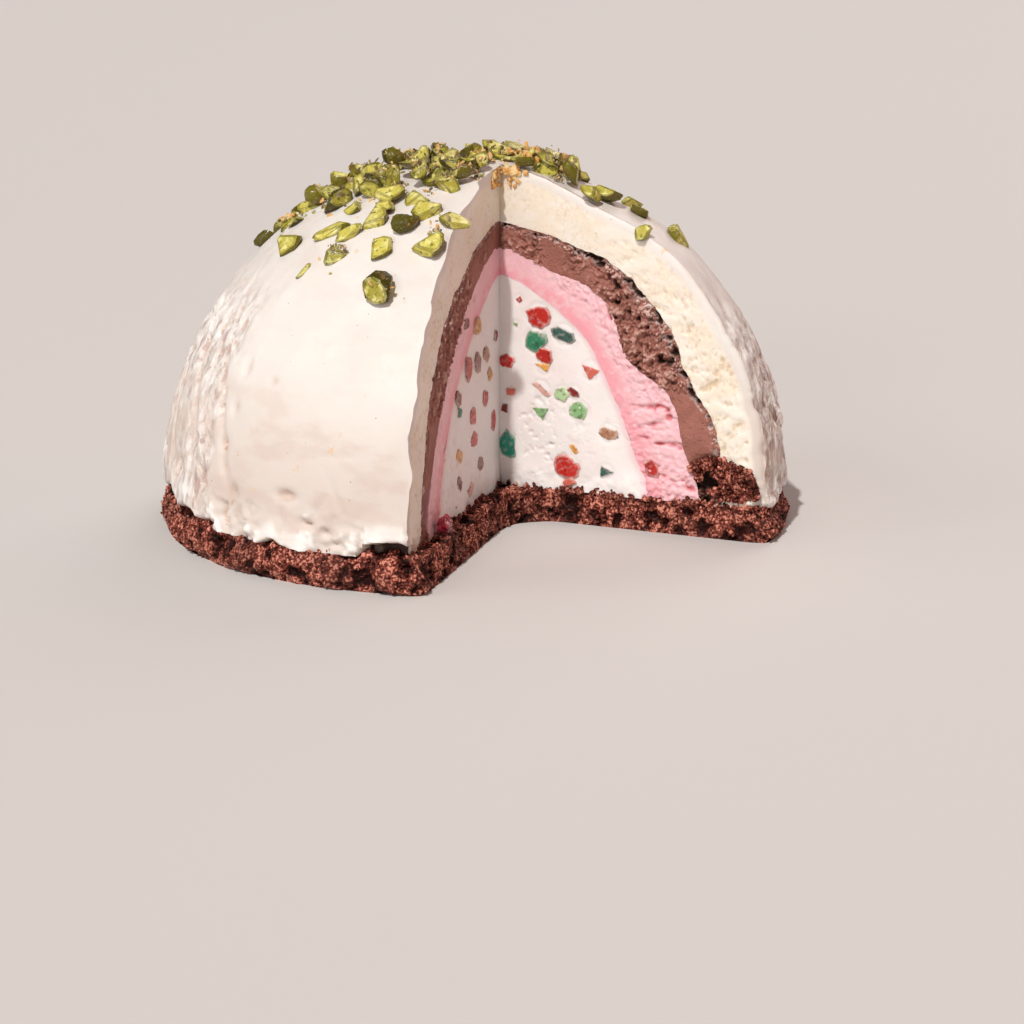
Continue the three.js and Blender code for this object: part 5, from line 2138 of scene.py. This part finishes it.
        def drop(plan: np.ndarray, golden: float, largest: float) -> None:
            """Lays one crumb on whatever is there, unless that is the open wedge or too high.

            Args:
                plan: Its plan place, in millimetres.
                golden: 1 for a golden crumb, 0 for a piece of skin.
                largest: The most that it measures, before the part that gold adds.
            """
            height = heap.height_at(plan)
            bare = DOME_CENTRE_Z + math.sqrt(VANILLA_DOME.half_width**2 - float(plan @ plan))
            height = height - (0.25 if height < bare + 1.0 else 1.0)
            size = random.uniform(0.9, largest + golden) * random.uniform(0.6, 1.3, 3) * (1.0, 1.0, 0.7)
            if depth_in_wedge(plan[None])[0] > -0.8 or height + size[2] > self.top_limit:
                return
            turn = random.uniform(0, ANY_TURN, 3)
            rows.append((np.append(plan, height), turn, size, int(random.integers(CRUMB_KINDS)), golden))

        while len(rows) < self.crumb_count:
            azimuth = random.uniform(-180.0, 180.0)
            reach = 0.97 * self._heap_reach(azimuth)
            polar = math.degrees(math.acos(random.uniform(math.cos(math.radians(reach)), 1.0)))
            plan = plan_on_dome(polar, azimuth)
            near_corner = float(np.linalg.norm(plan - CORNER)) < 15.0
            drop(plan, float(random.uniform() < (0.8 if near_corner else 0.16)), 2.6)
        for nut in SINGLE_NUTS:
            plan = plan_on_dome(nut.polar, nut.azimuth)
            for _ in range(int(90 * max(0.0, nut.tint - 0.8))):
                drop(plan + random.normal(0.0, 0.22 * nut.size[0], 2), float(random.uniform() < 0.2), 2.2)
        for number in range(self.corner_crumbs):
            side = RIGHT if number % 2 else LEFT
            place = on_face(side, random.uniform(0.5, 11.0), 126.0 - abs(random.normal(0.0, 3.6)), 0.2)
            size = random.uniform(1.0, 3.6) * random.uniform(0.6, 1.3, 3)
            rows.append((place, random.uniform(0, ANY_TURN, 3), size, int(random.integers(CRUMB_KINDS)), 1.0))
        host = point_host("crumb_places", rows)
        shapes = crumb_shapes("nut_crumbs", CRUMB_KINDS, 77, 0.6)
        return self.instancer.run(
            self.instancer.placing, "pistachio_crumbs", host, Shapes=shapes, Finish=finish
        )


# ---- Studio ----


@dataclass(frozen=True)
class Studio:
    """Pale floor, soft light and the camera at the photograph's viewing angle."""

    camera_place: tuple = (0.01337, -1.05117, 0.26478)
    camera_fall: float = 14.1  # degrees below the level
    lens: float = 105.47
    floor_size: float = 12.0
    floor_colour: tuple = (0.66, 0.635, 0.615)
    air_colour: tuple = (1.0, 0.82, 0.76)
    air_strength: float = 0.09

    # Each lamp: name, azimuth, elevation and softness in degrees, strength, and colour.
    LAMPS = (
        ("key", -111.0, 52.0, 2.0, 2.55, (1.0, 0.98, 0.95)),
        ("front_fill", -115.0, 12.0, 28.0, 0.72, (1.0, 0.97, 0.95)),
        ("left_fill", -165.0, 30.0, 40.0, 0.5, (1.0, 0.98, 0.97)),
        ("right_fill", 8.0, 26.0, 45.0, 0.44, (1.0, 0.47, 0.39)),
        ("back_fill", 62.0, 36.0, 40.0, 0.85, (1.0, 0.90, 0.88)),
    )

    def light(self, name: str, azimuth: float, elevation: float, softness: float, strength: float,
              colour: tuple) -> None:
        """A soft, even light that shines on the whole cake.

        Args:
            name: Its name.
            azimuth, elevation: Where it shines from, in degrees.
            softness: Angle that it fills, in degrees.
            strength: How bright it is.
            colour: Its colour.
        """
        data = bpy.data.lights.new(name, "SUN")
        data.energy, data.angle, data.color = strength, math.radians(softness), colour
        lamp = bpy.data.objects.new(name, data)
        level = math.cos(math.radians(elevation))
        plan = plan_direction(azimuth)
        lamp.location = (plan[0] * level, plan[1] * level, math.sin(math.radians(elevation)))
        lamp.rotation_euler = (-lamp.location).to_track_quat("-Z", "Y").to_euler()
        bpy.context.scene.collection.objects.link(lamp)

    def build(self) -> None:
        """Makes the floor, the lights, the world and the camera."""
        scene = bpy.context.scene
        bpy.ops.mesh.primitive_plane_add(size=self.floor_size, location=(0.0, 0.0, 0.0))
        floor = bpy.context.object
        floor.name = "studio_floor"
        material = bpy.data.materials.new("studio_floor")
        material.use_nodes = True
        shader = material.node_tree.nodes["Principled BSDF"]
        shader.inputs["Base Color"].default_value = (*self.floor_colour, 1.0)
        shader.inputs["Roughness"].default_value = 0.8
        floor.data.materials.append(material)
        for lamp in self.LAMPS:
            self.light(*lamp)
        world = bpy.data.worlds.new("studio_air")
        world.use_nodes = True
        air = world.node_tree.nodes["Background"]
        air.inputs["Color"].default_value = (*self.air_colour, 1.0)
        air.inputs["Strength"].default_value = self.air_strength
        scene.world = world
        scene.view_settings.view_transform = "Standard"
        data = bpy.data.cameras.new("camera")
        data.lens, data.sensor_width = self.lens, 36.0
        camera = bpy.data.objects.new("camera", data)
        camera.location = self.camera_place
        camera.rotation_euler = (math.radians(90.0 - self.camera_fall), 0.0, 0.0)
        scene.collection.objects.link(camera)
        scene.camera = camera


# ---- Assembly ----


class Cassata:
    """The whole cake, built layer by layer from the outside in."""

    def __init__(self) -> None:
        """Makes the finishes that the pieces share."""
        self.finishes = Finishes()
        self.instancer = Instancer()

    def build_layers(self) -> None:
        """Builds and dresses the four ice cream layers."""
        vanilla = VanillaShell(
            "vanilla_shell", "vanilla_ice_cream", VANILLA_DOME, CHOCOLATE_DOME,
            rows=222, across=40, sweep=layer_sweep(184, 70, 74), grow=0.0,
        )
        chocolate = ChocolateLayer(
            "chocolate_layer", "chocolate_ice_cream", CHOCOLATE_DOME, STRAWBERRY_DOME,
            rows=430, across=62, sweep=layer_sweep(14, 14),
        )
        strawberry = StrawberryLayer(
            "strawberry_layer", "strawberry_ice_cream", STRAWBERRY_DOME, CORE_DOME,
            rows=330, across=44, sweep=layer_sweep(14, 14),
        )
        core = FruitCore(
            "fruit_core", "cassata_cream", CORE_DOME, None,
            rows=240, across=130, sweep=layer_sweep(14, 14),
        )
        looks = self.finishes
        for layer, finish in (
            (vanilla, looks.vanilla),
            (chocolate, looks.chocolate),
            (strawberry, looks.strawberry),
            (core, looks.core),
        ):
            deliver(layer.build(), finish, layer.slot, layer.node)

    def build_sponge(self) -> None:
        """Builds the sponge, its dragged lump, its crumbs and the cherry that lies on it."""
        looks = self.finishes
        sponge = Sponge().build()
        deliver(sponge, looks.sponge, "chocolate_sponge", "sponge_base")
        lump = Lump("dragged_sponge", RIGHT, 89.0, -0.6, 22.5, (8.5, 2.6, 4.2), 83)
        deliver(lump.build(), looks.sponge, "chocolate_sponge", "sponge_base")
        crumbs = self.instancer.run(
            self.instancer.scattering, "sponge_crumbs", sponge, Mask="bare",
            Shapes=crumb_shapes("sponge_bits", 5, 31), Density=230000.0, Seed=5,
            Smallest=0.6 * MM, Largest=2.0 * MM, Finish=looks.sponge,
        )
        self._finish_crumbs(crumbs, 32)
        torn = self.instancer.run(
            self.instancer.placing, "torn_sponge", point_host("torn_places", self._torn_places()),
            Shapes=crumb_shapes("torn_bits", CRUMB_KINDS, 33, 0.9), Finish=looks.sponge,
        )
        self._finish_crumbs(torn, 34)
        cherry = Lump("cherry_lump", LEFT, 78.0, 3.5, 16.4, (3.6, 2.6, 3.4), 93, detail=4, crumb=0.55)
        deliver(cherry.build(), looks.cherry, "candied_cherry", "cherry_piece")

    def _finish_crumbs(self, crumbs: bpy.types.Object, seed: int) -> None:
        """Keeps crumbs within the model's box, gives each its lightness, and delivers them.

        Args:
            crumbs: The mesh of loose crumbs.
            seed: Which pattern of light and dark.
        """
        low, high = (Vector(corner) for corner in CAD_BOX)
        for vertex in crumbs.data.vertices:
            vertex.co = [min(max(value, a + 0.1 * MM), b) for value, a, b in zip(vertex.co, low, high)]
        write_attribute(crumbs, "relief", 0.9 * lumps(mesh_points(crumbs), 2.4, seed))
        deliver(crumbs, None, "chocolate_sponge")

    def _torn_places(self, mass: int = 420, line: int = 520, seed: int = 71) -> list:
        """Places of loose crumbs: the mass that the knife dragged up, and a line along the faces' foot.

        Args:
            mass: How many make up the dragged mass.
            line: How many lie along the foot of the cut faces.
            seed: Which crumbs.

        Returns:
            Rows of place, turn, size, shape and tint.
        """
        random = np.random.default_rng(seed)
        rows = []
        while len(rows) < mass:
            run, height = random.uniform(73.0, 99.0), random.uniform(14.5, 29.5)
            top = np.interp(run, (73, 78, 82, 86, 92, 96, 99), (25.5, 28.5, 29.5, 28.5, 27.0, 24.0, 18.0))
            bottom = np.interp(run, (73, 79, 83, 92, 99), (23.5, 19.0, 13.6, 13.8, 16.5))
            cavity = math.hypot(run - 81.0, (height - 21.5) / 1.2) < 3.4
            if cavity or not bottom < height < top:
                continue
            proud = random.uniform(-0.6, 3.0) * math.sqrt(random.uniform(0.05, 1.0))
            turn, size = random.uniform(0, ANY_TURN, 3), random.uniform(1.2, 3.4, 3)
            place = on_face(RIGHT, run, height, proud)
            rows.append((place, turn, size, int(random.integers(CRUMB_KINDS)), 0.0))
        for _ in range(line):
            side, end = (RIGHT, 102.0) if random.uniform() < 0.55 else (LEFT, 96.0)
            run = random.uniform(3.0, end)
            if float(lumps(np.array([[run, side.value, 0.0]]), 7.0, 72)[0]) < random.uniform(-0.5, 0.3):
                continue
            level = SPONGE_TOP - 0.4 + abs(random.normal(0.0, 0.8))
            place = on_face(side, run, level, random.uniform(-0.8, 1.4))
            turn, size = random.uniform(0, ANY_TURN, 3), random.uniform(0.9, 3.0, 3)
            rows.append((place, turn, size, int(random.integers(CRUMB_KINDS)), 0.0))
        return rows

    def build_fruit(self) -> None:
        """Builds the candied fruit of both cut faces."""
        deliver(CandiedFruit().build(), self.finishes.fruit, "candied_fruit", "fruit_core")

    def build_nuts(self) -> None:
        """Builds the pistachios and their crumbs."""
        nuts, crumbs = Pistachios(self.instancer).build(self.finishes.pistachio, self.finishes.nut_crumb)
        deliver(nuts, None, "pistachio", "vanilla_shell")
        deliver(crumbs, None, "pistachio")

    def build(self) -> None:
        """Builds every piece."""
        self.build_layers()
        self.build_sponge()
        self.build_fruit()
        self.build_nuts()


def main() -> None:
    """Builds the studio and the cake."""
    logging.basicConfig(level=logging.INFO, format="%(message)s")
    Studio().build()
    Cassata().build()


if __name__ == "__main__":
    main()
